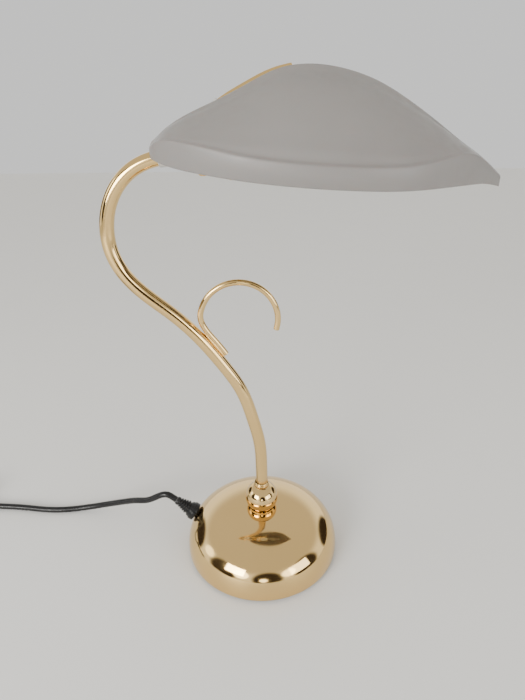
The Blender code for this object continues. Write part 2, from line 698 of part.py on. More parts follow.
def make_cord(black, exit_point, exit_direction):
    switch_near = SWITCH_CENTRE.x + SWITCH_SIZE.x / 2 + GAP
    switch_far = SWITCH_CENTRE.x - SWITCH_SIZE.x / 2 - GAP
    axis = Vector((0, SWITCH_CENTRE.y, SWITCH_CORD_Z))
    lead = 5 * MM
    start = [exit_point + exit_direction * lead * share for share in (0, 0.7, 1.4)]
    near = axis + Vector((switch_near, 0, 0))
    route = start + millimetres(CORD_ROUTE_1) + [near + Vector((lead, 0, 0)), near]
    tube_curve("cord_to_switch", smooth_path(route, 3.2 * CORD_R), CORD_R, black)

    outer = COIL_MEAN_R + COIL_HALF_WIDTH
    reach = math.sqrt(outer ** 2 - (coil_track() - CORD_R) ** 2)
    ring_x = COIL_CENTRE.x + reach + GAP
    far = axis + Vector((switch_far, 0, 0))
    route = [far, far - Vector((lead, 0, 0))] + millimetres(CORD_ROUTE_2)
    route.append(Vector((ring_x, COIL_CENTRE.y + coil_track(), CORD_R + 0.1 * MM)))
    tube_curve("cord_to_coil", smooth_path(route, 5 * MM), CORD_R, black)

    ring("cord_coil", COIL_MEAN_R - COIL_HALF_WIDTH, outer, 0, COIL_HEIGHT, black,
         Matrix.Translation(COIL_CENTRE), steps=40)

    plug_end = Vector((PLUG_BACK_X - GAP, COIL_CENTRE.y - coil_track(), PLUG_SIZE.z / 2))
    route = [Vector((ring_x, plug_end.y, plug_end.z)), plug_end]
    tube_curve("cord_to_plug", smooth_path(route, 4 * MM), CORD_R, black)


def make_switch(black, brass, steel):
    half = SWITCH_SIZE / 2
    split = 8.5 * MM
    low = SWITCH_CENTRE - Vector((half.x, half.y, 0))
    high = SWITCH_CENTRE + Vector((half.x, half.y, SWITCH_SIZE.z))
    wall = Vector((SWITCH_WALL, SWITCH_WALL, 0))
    bottom = box("switch_bottom", low, (high.x, high.y, split), black, bevel=2 * MM)
    room = box("switch_bottom_room", low + wall + Vector((0, 0, SWITCH_WALL)),
               Vector((high.x, high.y, split + 9 * MM)) - wall, black)
    cut(bottom, as_cutter(room))
    top = box("switch_top", (low.x, low.y, split + GAP), high, black, bevel=2 * MM)
    room = box("switch_top_room", Vector((low.x, low.y, split - 5 * MM)) + wall,
               high - wall - Vector((0, 0, SWITCH_WALL)), black)
    cut(top, as_cutter(room))
    window = box("switch_window", SWITCH_CENTRE + Vector((-WINDOW_SIZE.x / 2, -WINDOW_SIZE.y / 2, 12 * MM)),
                 SWITCH_CENTRE + Vector((WINDOW_SIZE.x / 2, WINDOW_SIZE.y / 2, 30 * MM)), black)
    cut(top, as_cutter(window))

    floor = SWITCH_WALL + GAP
    for number, side in ((1, -1), (2, 1)):
        spot = SWITCH_CENTRE + Vector((side * 22 * MM, 0, floor))
        cylinder(f"switch_post_{number}", 3 * MM, SWITCH_SIZE.z - SWITCH_WALL - 2 * floor + SWITCH_WALL,
                 steel, Matrix.Translation(spot), sides=16)
        contact = SWITCH_CENTRE + Vector((side * 7 * MM, 0, floor))
        box(f"switch_contact_{number}", contact - Vector((4 * MM, 3 * MM, 0)),
            contact + Vector((4 * MM, 3 * MM, 3 * MM)), brass, bevel=0.4 * MM)
    make_rocker(black)


def make_rocker(black):
    """Rocker cap, tilted to its off side about a pin across the switch."""
    half, depth = 7.2 * MM, 4.8 * MM
    outline = [(-half, -1.6 * MM), (-half, 5.2 * MM), (0, 3.6 * MM), (half, 5.2 * MM),
               (half, -1.6 * MM), (0.35 * half, -4.6 * MM), (-0.35 * half, -4.6 * MM)]
    data = bpy.data.curves.new("switch_rocker", "CURVE")
    data.dimensions = "2D"
    data.fill_mode = "BOTH"
    data.extrude = depth
    line = data.splines.new("POLY")
    line.points.add(len(outline) - 1)
    for point, (x, z) in zip(line.points, outline):
        point.co = (x, z, 0, 1)
    line.use_cyclic_u = True
    pivot = SWITCH_CENTRE + Vector((0, 0, ROCKER_PIVOT_Z))
    upright = Matrix.Rotation(math.radians(90), 4, "X")
    tilt = Matrix.Rotation(-ROCKER_TILT, 4, "Y")
    place("switch_rocker", data, black, Matrix.Translation(pivot) @ tilt @ upright)


def make_plug(black, pin_metal):
    centre_y = COIL_CENTRE.y - coil_track()
    back = PLUG_BACK_X
    low = Vector((back + PLUG_NOSE_L, centre_y - PLUG_SIZE.y / 2, 0))
    body = box("plug_body", low, low + PLUG_SIZE, black, bevel=4 * MM, segments=3)
    nose = cylinder("plug_nose", CORD_R + 0.8 * MM, PLUG_NOSE_L + 4 * MM, black,
                    aim(Vector((back, centre_y, PLUG_SIZE.z / 2)), (1, 0, 0)), sides=20,
                    end_radius=6.5 * MM)
    cut(body, as_cutter(nose), "UNION")
    for number, side in ((1, -1), (2, 1)):
        start = Vector((low.x + PLUG_SIZE.x + GAP, centre_y + side * PIN_SPACING / 2, PLUG_SIZE.z / 2))
        pin = [(0, PIN_L), (0.5 * PIN_R, PIN_L), (PIN_R, PIN_L - 1 * MM), (PIN_R, 0), (0, 0)]
        turned(f"plug_pin_{number}", pin, pin_metal, aim(start, (1, 0, 0)), steps=16)


def main():
    brass = material("polished_brass", (0.80, 0.58, 0.25), 0.08, 1.0)
    iron = material("cast_iron", (0.12, 0.12, 0.12), 0.6, 1.0)
    steel = material("zinc_plated_steel", (0.62, 0.62, 0.60), 0.3, 1.0)
    felt = material("black_felt", (0.02, 0.02, 0.02), 0.95)
    glass = material("satin_glass", (0.62, 0.60, 0.58), 0.55)
    clear_glass = material("bulb_glass", (0.9, 0.9, 0.9), 0.05)
    silicone = material("clear_silicone", (0.75, 0.75, 0.72), 0.5)
    black = material("black_pvc", (0.015, 0.015, 0.016), 0.35)
    white = material("white_thermoplastic", (0.78, 0.77, 0.72), 0.4)
    ceramic = material("contact_insulator", (0.82, 0.80, 0.74), 0.5)
    copper = material("wire_insulation", (0.35, 0.16, 0.06), 0.45)
    nickel = material("nickel", (0.66, 0.64, 0.60), 0.25, 1.0)

    weight_top = make_base(brass, iron, steel, felt)
    make_cover_fixing(brass, steel)
    make_ball(brass)
    make_stem(brass)
    make_shade(glass, silicone)
    make_shade_fixing(brass)
    tip_x = make_lampholder(white, brass, steel, ceramic)
    make_bulb(nickel, clear_glass, tip_x)
    make_wiring(weight_top, white, copper, steel, black)
    exit_point, exit_direction = make_strain_relief(black)
    make_cord(black, exit_point, exit_direction)
    make_switch(black, brass, steel)
    make_plug(black, nickel)


clear_scene()
LAMP = collection("desk_lamp")
CUTTERS = collection("cutters")
main()
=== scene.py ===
"""Looks for the swan-neck desk lamp: finer meshes, materials, light and camera on the CAD frame.

Sizes are in millimetres times MM. +X runs along the shade to its tip, +Z is up.
"""

import json
import math

import bmesh
import bpy
import numpy as np
from mathutils import Matrix, Vector


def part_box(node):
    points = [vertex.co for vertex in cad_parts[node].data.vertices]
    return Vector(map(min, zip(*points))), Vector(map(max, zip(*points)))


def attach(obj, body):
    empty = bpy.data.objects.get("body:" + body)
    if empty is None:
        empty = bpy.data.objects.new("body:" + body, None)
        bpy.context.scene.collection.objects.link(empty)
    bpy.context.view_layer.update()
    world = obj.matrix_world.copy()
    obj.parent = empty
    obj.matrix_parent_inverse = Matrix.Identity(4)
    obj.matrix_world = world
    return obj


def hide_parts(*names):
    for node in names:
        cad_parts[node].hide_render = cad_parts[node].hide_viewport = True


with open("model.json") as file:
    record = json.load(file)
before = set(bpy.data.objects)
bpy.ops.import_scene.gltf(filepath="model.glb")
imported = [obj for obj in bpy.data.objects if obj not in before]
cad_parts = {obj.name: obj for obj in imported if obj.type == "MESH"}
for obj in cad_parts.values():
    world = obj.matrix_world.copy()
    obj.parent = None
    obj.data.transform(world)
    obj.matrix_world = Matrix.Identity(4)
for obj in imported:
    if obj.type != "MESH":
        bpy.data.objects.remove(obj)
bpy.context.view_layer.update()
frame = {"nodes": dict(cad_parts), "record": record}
MM = 0.001

# ---------------------------------------------------------------- sizes, as in the CAD model

TUBE_R = 5 * MM
ROD_R = 2.25 * MM
CORD_R = 2.8 * MM
GAP = 0.3 * MM
SCROLL_R = 28.5 * MM
SCROLL_CENTRE = Vector((-14.7 * MM, 0, 218.6 * MM))
HEAD_Z = 332 * MM
CLAMP_X = -35 * MM
SHADE_X0 = -66.5 * MM
SHADE_L = 224.5 * MM
SHADE_HALF_WIDTH = 60 * MM
GLASS_T = 3.6 * MM
VEIN_HALF_WIDTH = 4.5 * MM
SWITCH_CENTRE = Vector((-325 * MM, 48 * MM, 0))
SWITCH_SIZE = Vector((62 * MM, 26 * MM, 17.5 * MM))
SWITCH_SPLIT = 8.5 * MM
SWITCH_CORD_Z = 7 * MM
COIL_CENTRE = Vector((-408 * MM, 8.3 * MM, 0))
COIL_OUTER = 39.7 * MM      # the outermost turn, along the cord's centre line
COIL_TRACKS = 4
COIL_TURNS_20 = 150         # seven and a half turns, in twentieths
TIE_T = 0.6 * MM
TIE_W = 9 * MM
PLUG_BACK_X = -372 * MM
PLUG_SIZE = Vector((34 * MM, 35 * MM, 14 * MM))
PLUG_NOSE_L = 10 * MM
BASE_R = 66 * MM
BASE_TOP = 45 * MM
BASE_WIDE_Z = 5 * MM
BASE_ROUNDNESS = 2.35
GLAND_ANGLE = math.radians(169)
GLAND_Z = 24 * MM
GLAND_NECK_R = 4.4 * MM
GLAND_HEAD_R = 8 * MM
GLAND_LENGTH = 22 * MM
CORD_LEAD = 5 * MM

STEM_ROUTE = [
    (0, 51.5), (0.3, 68), (0.2, 86), (-1, 108), (-6.2, 132), (-14.8, 159), (-28.5, 182),
    (-44.8, 204), (-63, 223), (-83, 240.3), (-95, 254.5), (-101.6, 270), (-102.6, 286),
    (-99, 301.5), (-91.2, 314.8), (-80, 324.6), (-65.8, 330.3), (-54, 332), (-44, 332),
    (-33, 332), (-21, 332)]
SCROLL_FOOT = [(-25.2, 190.6), (-32.1, 200.4), (-38.6, 209.2)]
RIDGE = [
    (0, 340.6), (4, 343.8), (8, 347), (26, 357.4), (45, 365.2), (62, 373), (79, 380.2),
    (90, 382.4), (105, 382.4), (122, 379.4), (140, 373.2), (158, 363.6), (177, 351.4),
    (197, 338), (214, 327), (224.5, 318.4)]
RIM = [
    (0, 332), (14, 328.6), (34, 325.6), (57, 322.8), (80, 320.6), (109, 318.4), (125, 317.4),
    (146, 316.4), (176, 316), (200, 315.6), (213, 314.6), (224.5, 312)]
HALF_WIDTH = [
    (0, 0.185), (3, 0.28), (9, 0.40), (20, 0.56), (36, 0.72), (56, 0.86), (80, 0.96),
    (104, 1.0), (130, 0.97), (156, 0.85), (180, 0.62), (200, 0.37), (214, 0.18), (224.5, 0.04)]
VEIN = [(0, 0), (10, 0.3), (24, 4.2), (45, 4.2), (66, 3.4), (92, 3.2), (110, 1.6), (135, 0)]
CORD_ROUTE_1 = [
    (-103, 19.8, 33), (-117, 25.4, 27), (-132, 32.2, 19.6), (-147.5, 38, 12.2),
    (-162.5, 41.2, 6.8), (-177, 41.8, 3.9), (-199, 40.6, 2.9), (-218, 41.8, 2.9),
    (-234, 44.2, 2.9), (-262, 46.8, 2.9), (-276, 47.7, 4)]
CORD_ROUTE_2 = [(-368, 48, 5.2)]

# ---------------------------------------------------------------- sizes that only the looks need

# Height of the shade's soft shoulder above its rim, against the distance from the rounded end
SHOULDER = [
    (0, 6), (8, 12.5), (26, 15.5), (60, 13.5), (100, 12.5), (140, 13), (170, 15.5), (197, 17.5),
    (214, 10), (224.5, 5.2)]
SHADE_STATIONS = 110        # cross-sections along the shade
SHADE_ACROSS = 84           # points on each side of a cross-section
DOME_STEPS = 60
CAMERA_PLACE = Vector((0.0022, -0.352, 0.360))
CAMERA_PITCH = math.radians(25.3)
CAMERA_ROLL = math.radians(0.65)
CAMERA_LENS = 26.49

# ---------------------------------------------------------------- curves

def spline(points):
    """A natural cubic curve through the points, as a function of the distance along them."""
    pts = np.array(points, float)
    knots = np.concatenate([[0], np.cumsum(np.linalg.norm(np.diff(pts, axis=0), axis=1))])
    gaps = np.diff(knots)
    count = len(pts)
    system = np.eye(count)
    right = np.zeros_like(pts)
    for i in range(1, count - 1):
        system[i, i - 1:i + 2] = gaps[i - 1], 2 * (gaps[i - 1] + gaps[i]), gaps[i]
        right[i] = 6 * ((pts[i + 1] - pts[i]) / gaps[i] - (pts[i] - pts[i - 1]) / gaps[i - 1])
    bend = np.linalg.solve(system, right)

    def at(s):
        i = min(max(int(np.searchsorted(knots, s)) - 1, 0), count - 2)
        a, b, h = knots[i + 1] - s, s - knots[i], gaps[i]
        return ((bend[i] * a ** 3 + bend[i + 1] * b ** 3) / (6 * h)
                + (pts[i] / h - bend[i] * h / 6) * a + (pts[i + 1] / h - bend[i + 1] * h / 6) * b)

    return at, knots[-1]


def smooth_path(points, step):
    at, length = spline(points)
    count = max(2, round(length / step) + 1)
    return [Vector(at(s)) for s in np.linspace(0, length, count)]


def in_plane(route):
    return [Vector((x * MM, 0, z * MM)) for x, z in route]


def millimetres(route):
    return [Vector(point) * MM for point in route]


def table_curve(table):
    """A smooth curve through a table of (distance, value), as a function of the distance."""
    at, length = spline([(d, 0, v) for d, v in table])
    dense = np.array([at(s) for s in np.linspace(0, length, 1200)])

    def read(distance):
        return float(np.interp(distance, dense[:, 0], dense[:, 2]))

    return read


def arc(centre, radius, start, end, count):
    """Points (x, z) on an arc, angles in degrees."""
    angles = np.radians(np.linspace(start, end, count))
    return [(centre[0] + radius * math.cos(a), centre[1] + radius * math.sin(a)) for a in angles]


def rounded(profile, radius, steps=4):
    """The profile with each inner corner rounded. A point (r, z, size) has its own radius."""
    points = [Vector(p[:2]) for p in profile]
    sizes = [p[2] if len(p) > 2 else radius for p in profile]
    out = [points[0]]
    for before, corner, after, size in zip(points, points[1:], points[2:], sizes[1:]):
        reach = min(size, (corner - before).length * 0.45, (after - corner).length * 0.45)
        start = corner + (before - corner).normalized() * reach
        end = corner + (after - corner).normalized() * reach
        for i in range(steps + 1):
            t = i / steps
            out.append(start.lerp(corner, t).lerp(corner.lerp(end, t), t))
    out.append(points[-1])
    return [tuple(p) for p in out]


# ---------------------------------------------------------------- meshes

def show(obj, mat, replaces=(), body="lamp"):
    """Link a piece, give it its material, and let it ride on a body."""
    if obj.name not in bpy.context.scene.collection.objects:
        bpy.context.scene.collection.objects.link(obj)
    obj.data.materials.clear()
    obj.data.materials.append(mat)
    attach(obj, body)
    if replaces:
        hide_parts(*replaces)
    return obj


def finished(name, bm, angle=40):
    mesh = bpy.data.meshes.new(name)
    bmesh.ops.recalc_face_normals(bm, faces=bm.faces)
    bm.to_mesh(mesh)
    bm.free()
    mesh.shade_smooth()
    mesh.set_sharp_from_angle(angle=math.radians(angle))
    return bpy.data.objects.new(name, mesh)


def bridge(bm, near, far, closed=True):
    count = len(near)
    for i in range(count if closed else count - 1):
        j = (i + 1) % count
        bm.faces.new((near[i], near[j], far[j], far[i]))


def turned(name, profile, matrix=None, steps=96, closed=False, ripple=None):
    """Turn (radius, height) points about local Z. ripple(angle, height) scales the radius."""
    bm = bmesh.new()
    rows = []
    for radius, height in profile:
        if radius < 1e-6:
            rows.append([bm.verts.new((0, 0, height))])
            continue
        row = []
        for i in range(steps):
            angle = 2 * math.pi * i / steps
            r = radius * (ripple(angle, height) if ripple else 1)
            row.append(bm.verts.new((r * math.cos(angle), r * math.sin(angle), height)))
        rows.append(row)
    pairs = list(zip(rows, rows[1:]))
    if closed:
        pairs.append((rows[-1], rows[0]))
    for near, far in pairs:
        if len(near) == 1:
            near, far = far, near
        if len(near) == 1:
            continue
        if len(far) == 1:
            for i in range(len(near)):
                bm.faces.new((near[i], near[(i + 1) % len(near)], far[0]))
        else:
            bridge(bm, near, far)
    if matrix is not None:
        bm.transform(matrix)
    return finished(name, bm)


def aim(origin, direction):
    turn = Vector(direction).to_track_quat("Z", "Y").to_matrix().to_4x4()
    return Matrix.Translation(origin) @ turn


def frames_along(path):
    """A steady pair of side directions at each point of a path."""
    tangents = []
    for i in range(len(path)):
        ahead = path[min(i + 1, len(path) - 1)] - path[max(i - 1, 0)]
        tangents.append(ahead.normalized())
    side = tangents[0].orthogonal().normalized()
    pairs = []
    for tangent in tangents:
        side = (side - tangent * side.dot(tangent)).normalized()
        pairs.append((side, tangent.cross(side), tangent))
    return pairs


def swept(name, path, radius, sides=32, edge=0.4 * MM, squeeze=None):
    """A solid rod along a path with softly rounded ends. squeeze(share) scales its radius."""
    bm = bmesh.new()
    frames = frames_along(path)
    last = len(path) - 1
    scale = squeeze or (lambda share: 1.0)
    rings = []
    for sign, index in ((1, 0), (-1, last)):
        end_radius = radius * scale(index / last)
        turns = [math.radians(a) for a in (0, 30, 60)]
        ring_set = [(path[index] + frames[index][2] * sign * edge * (1 - math.cos(a)), frames[index],
                     end_radius - edge + edge * math.sin(a)) for a in turns]
        rings.append(ring_set)
    middle = [(path[i], frames[i], radius * scale(i / last)) for i in range(1, last)]
    rows = []
    for point, (a, b, _), r in rings[0] + middle + rings[1][::-1]:
        angles = [2 * math.pi * i / sides for i in range(sides)]
        rows.append([bm.verts.new(point + (a * math.cos(t) + b * math.sin(t)) * r) for t in angles])
    for near, far in zip(rows, rows[1:]):
        bridge(bm, near, far)
    for row in (rows[0], rows[-1]):
        hub = bm.verts.new(sum((v.co for v in row), Vector()) / sides)
        for i in range(sides):
            bm.faces.new((row[i], row[(i + 1) % sides], hub))
    return finished(name, bm)


def lofted(name, rows, angle=40):
    """A closed body through rows of points, each row a closed loop, with end caps fanned from each loop's
    centre.
    """
    bm = bmesh.new()
    made = [[bm.verts.new(p) for p in row] for row in rows]
    for near, far in zip(made, made[1:]):
        bridge(bm, near, far)
    for row in (made[0], made[-1]):
        hub = bm.verts.new(sum((v.co for v in row), Vector()) / len(row))
        for i in range(len(row)):
            bm.faces.new((row[i], row[(i + 1) % len(row)], hub))
    return finished(name, bm, angle)


def soft_box(name, low, high, bevel, segments=5):
    low, high = Vector(low), Vector(high)
    bm = bmesh.new()
    bmesh.ops.create_cube(bm, size=1.0)
    bmesh.ops.scale(bm, vec=high - low, verts=bm.verts)
    bmesh.ops.translate(bm, vec=(low + high) / 2, verts=bm.verts)
    bmesh.ops.bevel(bm, geom=bm.edges, offset=bevel, segments=segments, profile=0.5, affect="EDGES")
    return finished(name, bm)


def carve(obj, cutter):
    """Cut the cutter's shape out of a piece, and discard the cutter."""
    scene = bpy.context.scene
    for each in (obj, cutter):
        if each.name not in scene.collection.objects:
            scene.collection.objects.link(each)
    mod = obj.modifiers.new("cut", "BOOLEAN")
    mod.operation = "DIFFERENCE"
    mod.object = cutter
    mod.solver = "EXACT"
    bpy.context.view_layer.update()
    evaluated = obj.evaluated_get(bpy.context.evaluated_depsgraph_get())
    mesh = bpy.data.meshes.new_from_object(evaluated)
    obj.modifiers.clear()
    obj.data = mesh
    mesh.shade_smooth()
    mesh.set_sharp_from_angle(angle=math.radians(30))
    bpy.data.objects.remove(cutter, do_unlink=True)


# ---------------------------------------------------------------- materials

class Look:
    """A Principled material with small helpers for its procedural detail."""

    def __init__(self, name, colour, roughness, metallic=0.0, **sockets):
        self.mat = bpy.data.materials.new(name)
        self.mat.use_nodes = True
        self.tree = self.mat.node_tree
        self.shader = self.tree.nodes["Principled BSDF"]
        self.colour = colour
        self.shader.inputs["Base Color"].default_value = (*colour, 1)
        self.shader.inputs["Roughness"].default_value = roughness
        self.shader.inputs["Metallic"].default_value = metallic
        for key, value in sockets.items():
            self.shader.inputs[key.replace("_", " ").title().replace("Ior", "IOR")].default_value = value
        self.coordinates = self.tree.nodes.new("ShaderNodeTexCoord").outputs["Object"]

    def stretched(self, stretch):
        mapping = self.tree.nodes.new("ShaderNodeMapping")
        mapping.inputs["Scale"].default_value = stretch
        self.tree.links.new(self.coordinates, mapping.inputs["Vector"])
        return mapping.outputs["Vector"]

    def noise(self, per_metre, detail=4.0, stretch=None):
        node = self.tree.nodes.new("ShaderNodeTexNoise")
        node.inputs["Scale"].default_value = per_metre
        node.inputs["Detail"].default_value = detail
        source = self.stretched(stretch) if stretch else self.coordinates
        self.tree.links.new(source, node.inputs["Vector"])
        return node.outputs["Fac"]

    def spread(self, value, low, high, start=0.3, end=0.7):
        node = self.tree.nodes.new("ShaderNodeMapRange")
        node.interpolation_type = "SMOOTHSTEP"
        for key, number in (("From Min", start), ("From Max", end), ("To Min", low), ("To Max", high)):
            node.inputs[key].default_value = number
        self.tree.links.new(value, node.inputs["Value"])
        return node.outputs["Result"]

    def rough(self, value, low, high):
        self.tree.links.new(self.spread(value, low, high), self.shader.inputs["Roughness"])
        return self

    def tint(self, value, other, most=1.0):
        """Blend the base colour towards another one where the value is high."""
        node = self.tree.nodes.new("ShaderNodeMix")
        node.data_type = "RGBA"
        previous = self.shader.inputs["Base Color"]
        if previous.is_linked:
            self.tree.links.new(previous.links[0].from_socket, node.inputs["A"])
        else:
            node.inputs["A"].default_value = (*self.colour, 1)
        node.inputs[7].default_value = (*other, 1)
        self.tree.links.new(self.spread(value, 0, most), node.inputs["Factor"])
        self.tree.links.new(node.outputs["Result"], previous)
        return self

    def bump(self, value, depth, strength=1.0):
        """Add relief of this depth in metres on top of what is there."""
        node = self.tree.nodes.new("ShaderNodeBump")
        node.inputs["Distance"].default_value = depth
        node.inputs["Strength"].default_value = strength
        self.tree.links.new(value, node.inputs["Height"])
        normal = self.shader.inputs["Normal"]
        if normal.is_linked:
            self.tree.links.new(normal.links[0].from_socket, node.inputs["Normal"])
        self.tree.links.new(node.outputs["Normal"], normal)
        return self


def make_brass():
    look = Look("polished_brass", (0.79, 0.55, 0.235), 0.07, 1.0)
    look.rough(look.noise(38, 5), 0.045, 0.12)
    look.tint(look.noise(9, 3), (0.72, 0.485, 0.19), 0.6)
    look.bump(look.noise(2600, 2, (1, 1, 0.04)), 0.00002, 0.12)
    look.bump(look.noise(55, 2), 0.00012, 0.10)
    return look.mat


def make_satin_glass():
    look = Look("satin_glass", (0.215, 0.203, 0.196), 0.42, Subsurface_Weight=0.12, Specular_IOR_Level=0.45,
                Subsurface_Scale=0.01)
    look.tint(look.noise(14, 3), (0.235, 0.223, 0.215), 0.8)
    look.rough(look.noise(160, 5), 0.36, 0.5)
    look.bump(look.noise(5200, 3), 0.00003, 0.25)
    return look.mat


def make_black_pvc():
    look = Look("black_pvc", (0.008, 0.008, 0.009), 0.28, Specular_IOR_Level=0.32)
    look.rough(look.noise(220, 4), 0.2, 0.38)
    look.tint(look.noise(60, 2), (0.014, 0.014, 0.015), 0.5)
    look.bump(look.noise(1400, 3), 0.00005, 0.2)
    return look.mat


def make_moulded_black():
    look = Look("moulded_black", (0.010, 0.010, 0.011), 0.42, Specular_IOR_Level=0.3)
    look.rough(look.noise(300, 4), 0.34, 0.52)
    look.bump(look.noise(2600, 2), 0.00008, 0.35)
    return look.mat


def make_felt():
    look = Look("black_felt", (0.018, 0.018, 0.019), 0.96, Sheen_Weight=0.35, Sheen_Roughness=0.6)
    look.tint(look.noise(900, 5), (0.035, 0.034, 0.034), 0.9)
    look.bump(look.noise(1500, 6, (1, 1, 0.4)), 0.0004, 0.8)
    return look.mat


def make_zinc():
    look = Look("zinc_plated_steel", (0.62, 0.62, 0.6), 0.3, 1.0)
    look.rough(look.noise(400, 5), 0.22, 0.42)
    look.tint(look.noise(120, 4), (0.68, 0.66, 0.58), 0.7)
    look.bump(look.noise(2200, 3), 0.00003, 0.3)
    return look.mat


def make_iron():
    look = Look("cast_iron", (0.10, 0.10, 0.10), 0.62, 0.9)
    look.rough(look.noise(350, 5), 0.5, 0.78)
    look.tint(look.noise(70, 5), (0.14, 0.11, 0.09), 0.7)
    look.bump(look.noise(700, 6), 0.0004, 0.7)
    return look.mat


def make_white_plastic():
    look = Look("white_thermoplastic", (0.74, 0.73, 0.68), 0.38, Subsurface_Weight=0.05,
                Subsurface_Scale=0.002)
    look.rough(look.noise(260, 4), 0.3, 0.48)
    look.tint(look.noise(50, 3), (0.69, 0.67, 0.6), 0.6)
    look.bump(look.noise(1900, 3), 0.00005, 0.25)
    return look.mat


def make_ceramic():
    look = Look("contact_insulator", (0.80, 0.78, 0.72), 0.55)
    look.rough(look.noise(500, 4), 0.45, 0.7)
    look.tint(look.noise(300, 5), (0.72, 0.69, 0.62), 0.6)
    look.bump(look.noise(1600, 5), 0.00012, 0.4)
    return look.mat


def make_insulation():
    look = Look("wire_insulation", (0.28, 0.11, 0.04), 0.42)
    look.rough(look.noise(500, 3), 0.34, 0.55)
    look.tint(look.noise(90, 3), (0.34, 0.15, 0.06), 0.6)
    look.bump(look.noise(1500, 3), 0.00004, 0.3)
    return look.mat


def make_nickel():
    look = Look("nickel", (0.66, 0.62, 0.56), 0.2, 1.0)
    look.rough(look.noise(600, 4), 0.14, 0.3)
    look.tint(look.noise(120, 3), (0.7, 0.64, 0.54), 0.6)
    look.bump(look.noise(3200, 2, (1, 0.05, 1)), 0.00002, 0.3)
    return look.mat


def make_silicone():
    look = Look("clear_silicone", (0.72, 0.72, 0.70), 0.4, Transmission_Weight=0.35, IOR=1.41)
    look.rough(look.noise(300, 3), 0.32, 0.5)
    look.bump(look.noise(1500, 3), 0.00005, 0.3)
    return look.mat


def make_clear_glass():
    look = Look("bulb_glass", (0.95, 0.95, 0.94), 0.03, Transmission_Weight=0.95, IOR=1.47)
    look.rough(look.noise(60, 3), 0.01, 0.05)
    look.bump(look.noise(45, 2), 0.0002, 0.1)
    return look.mat


def make_filament():
    look = Look("filament", (0.5, 0.46, 0.38), 0.4, 1.0)
    look.rough(look.noise(900, 3), 0.3, 0.6)
    return look.mat


MATERIALS = {
    "polished_brass": make_brass(), "satin_glass": make_satin_glass(), "black_pvc": make_black_pvc(),
    "black_felt": make_felt(), "zinc_plated_steel": make_zinc(), "cast_iron": make_iron(),
    "white_thermoplastic": make_white_plastic(), "contact_insulator": make_ceramic(),
    "wire_insulation": make_insulation(), "nickel": make_nickel(), "clear_silicone": make_silicone(),
    "bulb_glass": make_clear_glass()}
MOULDED = make_moulded_black()
FILAMENT = make_filament()


def finish_cad_nodes():
    """Give every carried-over CAD node the material of its slot."""
    for row in frame["record"]["subparts"]:
        obj = frame["nodes"][row["node"]]
        mat = MATERIALS[row["material_slot"]]
        if obj.material_slots:
            obj.material_slots[0].material = mat
        else:
            obj.data.materials.append(mat)


# ---------------------------------------------------------------- camera, light and floor

WALL_LIGHT = (1.5, 1.5, 1.48)
CEILING_LIGHT = (0.86, 0.83, 0.77)
BACKDROP = (0.86, 0.86, 0.85)
DARK_CORNER = (0.05, 0.04, 0.035)
# Directions from the lamp, with the half-width of each patch in degrees
DARK_CORNERS = (((-0.85, -0.55, 0.2), 24), ((0.12, -1, 0.16), 24), ((0.88, -0.45, 0.2), 24),
                ((-0.9, 0.45, 0.1), 20), ((0.9, 0.45, 0.1), 20))
# The same for the windows, and then how bright each is
WINDOWS = (((-0.5, -0.85, 0.3), 12, 6), ((0.6, -0.8, 0.3), 11, 5), ((0.02, -1, 0.13), 6, 5),
           ((-1, -0.05, 0.35), 10, 3.5))


def make_camera():
    """At the photograph's height and tilt, with the lamp at the photograph's place."""
    ahead = Vector((0, math.cos(CAMERA_PITCH), -math.sin(CAMERA_PITCH)))
    right = Vector((1, 0, 0))
    down = ahead.cross(right)
    picture_right = right * math.cos(CAMERA_ROLL) + down * math.sin(CAMERA_ROLL)
    picture_down = down * math.cos(CAMERA_ROLL) - right * math.sin(CAMERA_ROLL)
    data = bpy.data.cameras.new("camera")
    data.sensor_width = 36
    data.lens = CAMERA_LENS
    data.clip_start = 0.01
    camera = bpy.data.objects.new("camera", data)
    turn = Matrix((picture_right, -picture_down, -ahead)).transposed().to_4x4()
    camera.matrix_world = Matrix.Translation(CAMERA_PLACE) @ turn
    bpy.context.scene.collection.objects.link(camera)
    bpy.context.scene.camera = camera


def make_floor():
    bm = bmesh.new()
    bmesh.ops.create_grid(bm, x_segments=8, y_segments=8, size=3.0)
    floor = finished("floor", bm)
    look = Look("pale_floor", (0.82, 0.82, 0.81), 0.65)
    look.rough(look.noise(12, 3), 0.6, 0.72)
    floor.data.materials.append(look.mat)
    floor.location.z = -0.4 * MM
    bpy.context.scene.collection.objects.link(floor)


def area_light(name, place, target, size, power, colour=(1, 1, 1)):
    data = bpy.data.lights.new(name, "AREA")
    data.shape = "RECTANGLE"
    data.size, data.size_y = size
    data.energy = power
    data.color = colour
    light = bpy.data.objects.new(name, data)
    light.location = place
    light.rotation_euler = (Vector(target) - Vector(place)).to_track_quat("-Z", "Y").to_euler()
    bpy.context.scene.collection.objects.link(light)


